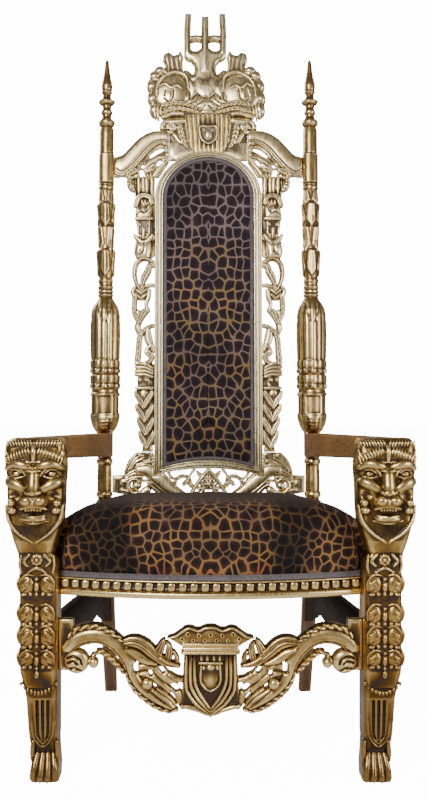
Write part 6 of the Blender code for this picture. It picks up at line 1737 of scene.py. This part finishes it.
apron.stroke(mm((0, 320, 4), (12, 319, 4), (26, 314, 3.6), (45, 319, 4), (60, 312, 4), (75, 302, 3.6),
                (90, 298.5, 2.6)), 0.014, 0.005)
apron.stroke(mm((0, 285, 3), (58, 285, 3)), 0.015, 0.0035)
for x, z in ((0.0, 0.305), (0.025, 0.303), (0.048, 0.306), (0.012, 0.293), (0.037, 0.293), (0.06, 0.296)):
    apron.egg((x, z), (0.005, 0.0045), 0.0135, 0.005)
    apron.groove([(x, z - 0.001, 0.0022), (x, z + 0.001, 0.0022)], 0.009)
apron.edge = np.maximum(apron.edge, np.maximum(apron.x[:, None] - 0.322, apron.z[None, :] - 0.3375))
for hole in (mm((159, 240, 4.8), (158.5, 228, 5)), mm((129, 224, 3), (127, 220, 4)),
             mm((105, 232, 4.2), (101, 227, 4.5)), mm((73, 229, 5), (62, 229, 3.6)),
             mm((78, 195, 6.2), (72.5, 189.5, 5.6)), mm((261, 269, 5.2), (248, 270, 5.2))):
    apron.pierce(hole)
apron_board = apron.carve("stretcher_carving", AMBER_GILDING, 0.013, 116000)
leant(apron_board, -0.29)
placed(apron_board, "gilding", "front_stretcher")

# Side stretchers. Dark-stained boards, deepened by painted shade, whose lower edge arches up in front of
# the back leg.
LOWER_EDGE = np.array([(0.0, 0.22), (0.3, 0.227), (0.5, 0.241), (0.65, 0.2535), (0.77, 0.2665),
                       (0.83, 0.261), (0.9, 0.238), (1.0, 0.2165)])


def side_stretcher():
    """The right board, from the leg back to the post."""
    steps = 40
    rings = []
    for k in range(steps + 1):
        t = k / steps
        top = 0.338 - 0.03 * (1 - math.sin(math.pi * min(1.0, 0.15 + t * 0.85) / 1.7))
        low = float(np.interp(t, LOWER_EDGE[:, 0], LOWER_EDGE[:, 1]))
        ring = []
        for z, face in ((low + 0.001, -0.011), (low, -0.0095), (low, 0.0095), (low + 0.001, 0.011),
                        (top - 0.001, 0.011), (top, 0.0095), (top, -0.0095), (top - 0.001, -0.011)):
            end = float(post_y(z)) - 0.0204
            ring.append((0.353 + (POST_X - 0.353) * t + face, LEG_BACK + JOINT_GAP + (end - LEG_BACK) * t,
                         z))
        rings.append(ring)
    return tube("side_stretcher_board_right", [p for ring in rings for p in ring], 8, SHADED_WOOD)


placed_twice(side_stretcher(), "side_stretcher_board_left", "brown_gilding", "side_stretcher")

# Room, light and camera. The throne stands on a plain pale floor in soft studio light and is seen from a
# little under eye height, as in the photograph.
FOCAL_PIXELS = 937.0
IMAGE_HEIGHT = 800
CAMERA_AT = (-0.0232, -2.285, 0.772)
SHIFT = (14.4 / IMAGE_HEIGHT, 14.0 / IMAGE_HEIGHT)


def floor():
    bm = bmesh.new()
    bmesh.ops.create_grid(bm, x_segments=1, y_segments=1, size=60.0)
    mesh = bpy.data.meshes.new("floor")
    bm.to_mesh(mesh)
    bm.free()
    finish, tree, shader = blank("pale_floor")
    shader.inputs["Base Color"].default_value = (0.9, 0.895, 0.89, 1.0)
    shader.inputs["Roughness"].default_value = 0.8
    shader.inputs["Emission Color"].default_value = (1.0, 1.0, 1.0, 1.0)
    path = tree.nodes.new("ShaderNodeLightPath")
    glow = node(tree, "ShaderNodeMath", operation="MULTIPLY")
    glow.inputs[1].default_value = 14.0
    link(tree, [(path.outputs["Is Camera Ray"], glow.inputs[0]),
                (glow.outputs[0], shader.inputs["Emission Strength"])])
    mesh.materials.append(finish)
    stood("floor", mesh)


def lamp(name, place, target, size, power):
    """A white rectangle of light turned to its target."""
    light = bpy.data.lights.new(name, "AREA")
    light.shape = "RECTANGLE"
    light.size, light.size_y = size
    light.energy = power
    obj = stood(name, light)
    obj.location = place
    obj.rotation_euler = (Vector(target) - Vector(place)).to_track_quat("-Z", "Y").to_euler()


def backdrop():
    """A white room to the eye, greyer in what the gilding mirrors."""
    world = bpy.data.worlds.new("studio")
    bpy.context.scene.world = world
    world.use_nodes = True
    tree = world.node_tree
    seen, mirrored = tree.nodes["Background"], tree.nodes.new("ShaderNodeBackground")
    blend = tree.nodes.new("ShaderNodeMixShader")
    path = tree.nodes.new("ShaderNodeLightPath")
    seen.inputs["Color"].default_value = (1.0, 1.0, 1.0, 1.0)
    seen.inputs["Strength"].default_value = 15.0
    mirrored.inputs["Color"].default_value = (0.62, 0.6, 0.58, 1.0)
    mirrored.inputs["Strength"].default_value = 0.33
    link(tree, [(path.outputs["Is Camera Ray"], blend.inputs["Fac"]),
                (mirrored.outputs[0], blend.inputs[1]), (seen.outputs[0], blend.inputs[2]),
                (blend.outputs[0], tree.nodes["World Output"].inputs["Surface"])])


floor()
backdrop()
lamp("key", (-0.9, -2.6, 2.1), (0.0, 0.0, 1.0), (0.9, 0.9), 84.0)
lamp("fill", (2.2, -1.6, 1.2), (0.0, 0.0, 0.8), (1.0, 1.4), 36.0)
lamp("rim", (-1.8, 1.4, 2.4), (0.0, 0.0, 1.0), (1.2, 1.2), 30.0)

lens = bpy.data.cameras.new("camera")
lens.sensor_width = 36.0
lens.lens = FOCAL_PIXELS / IMAGE_HEIGHT * lens.sensor_width
lens.shift_x, lens.shift_y = SHIFT
eye = stood("camera", lens)
eye.location = CAMERA_AT
eye.rotation_euler = (math.pi / 2, 0.0, 0.0)
bpy.context.scene.camera = eye
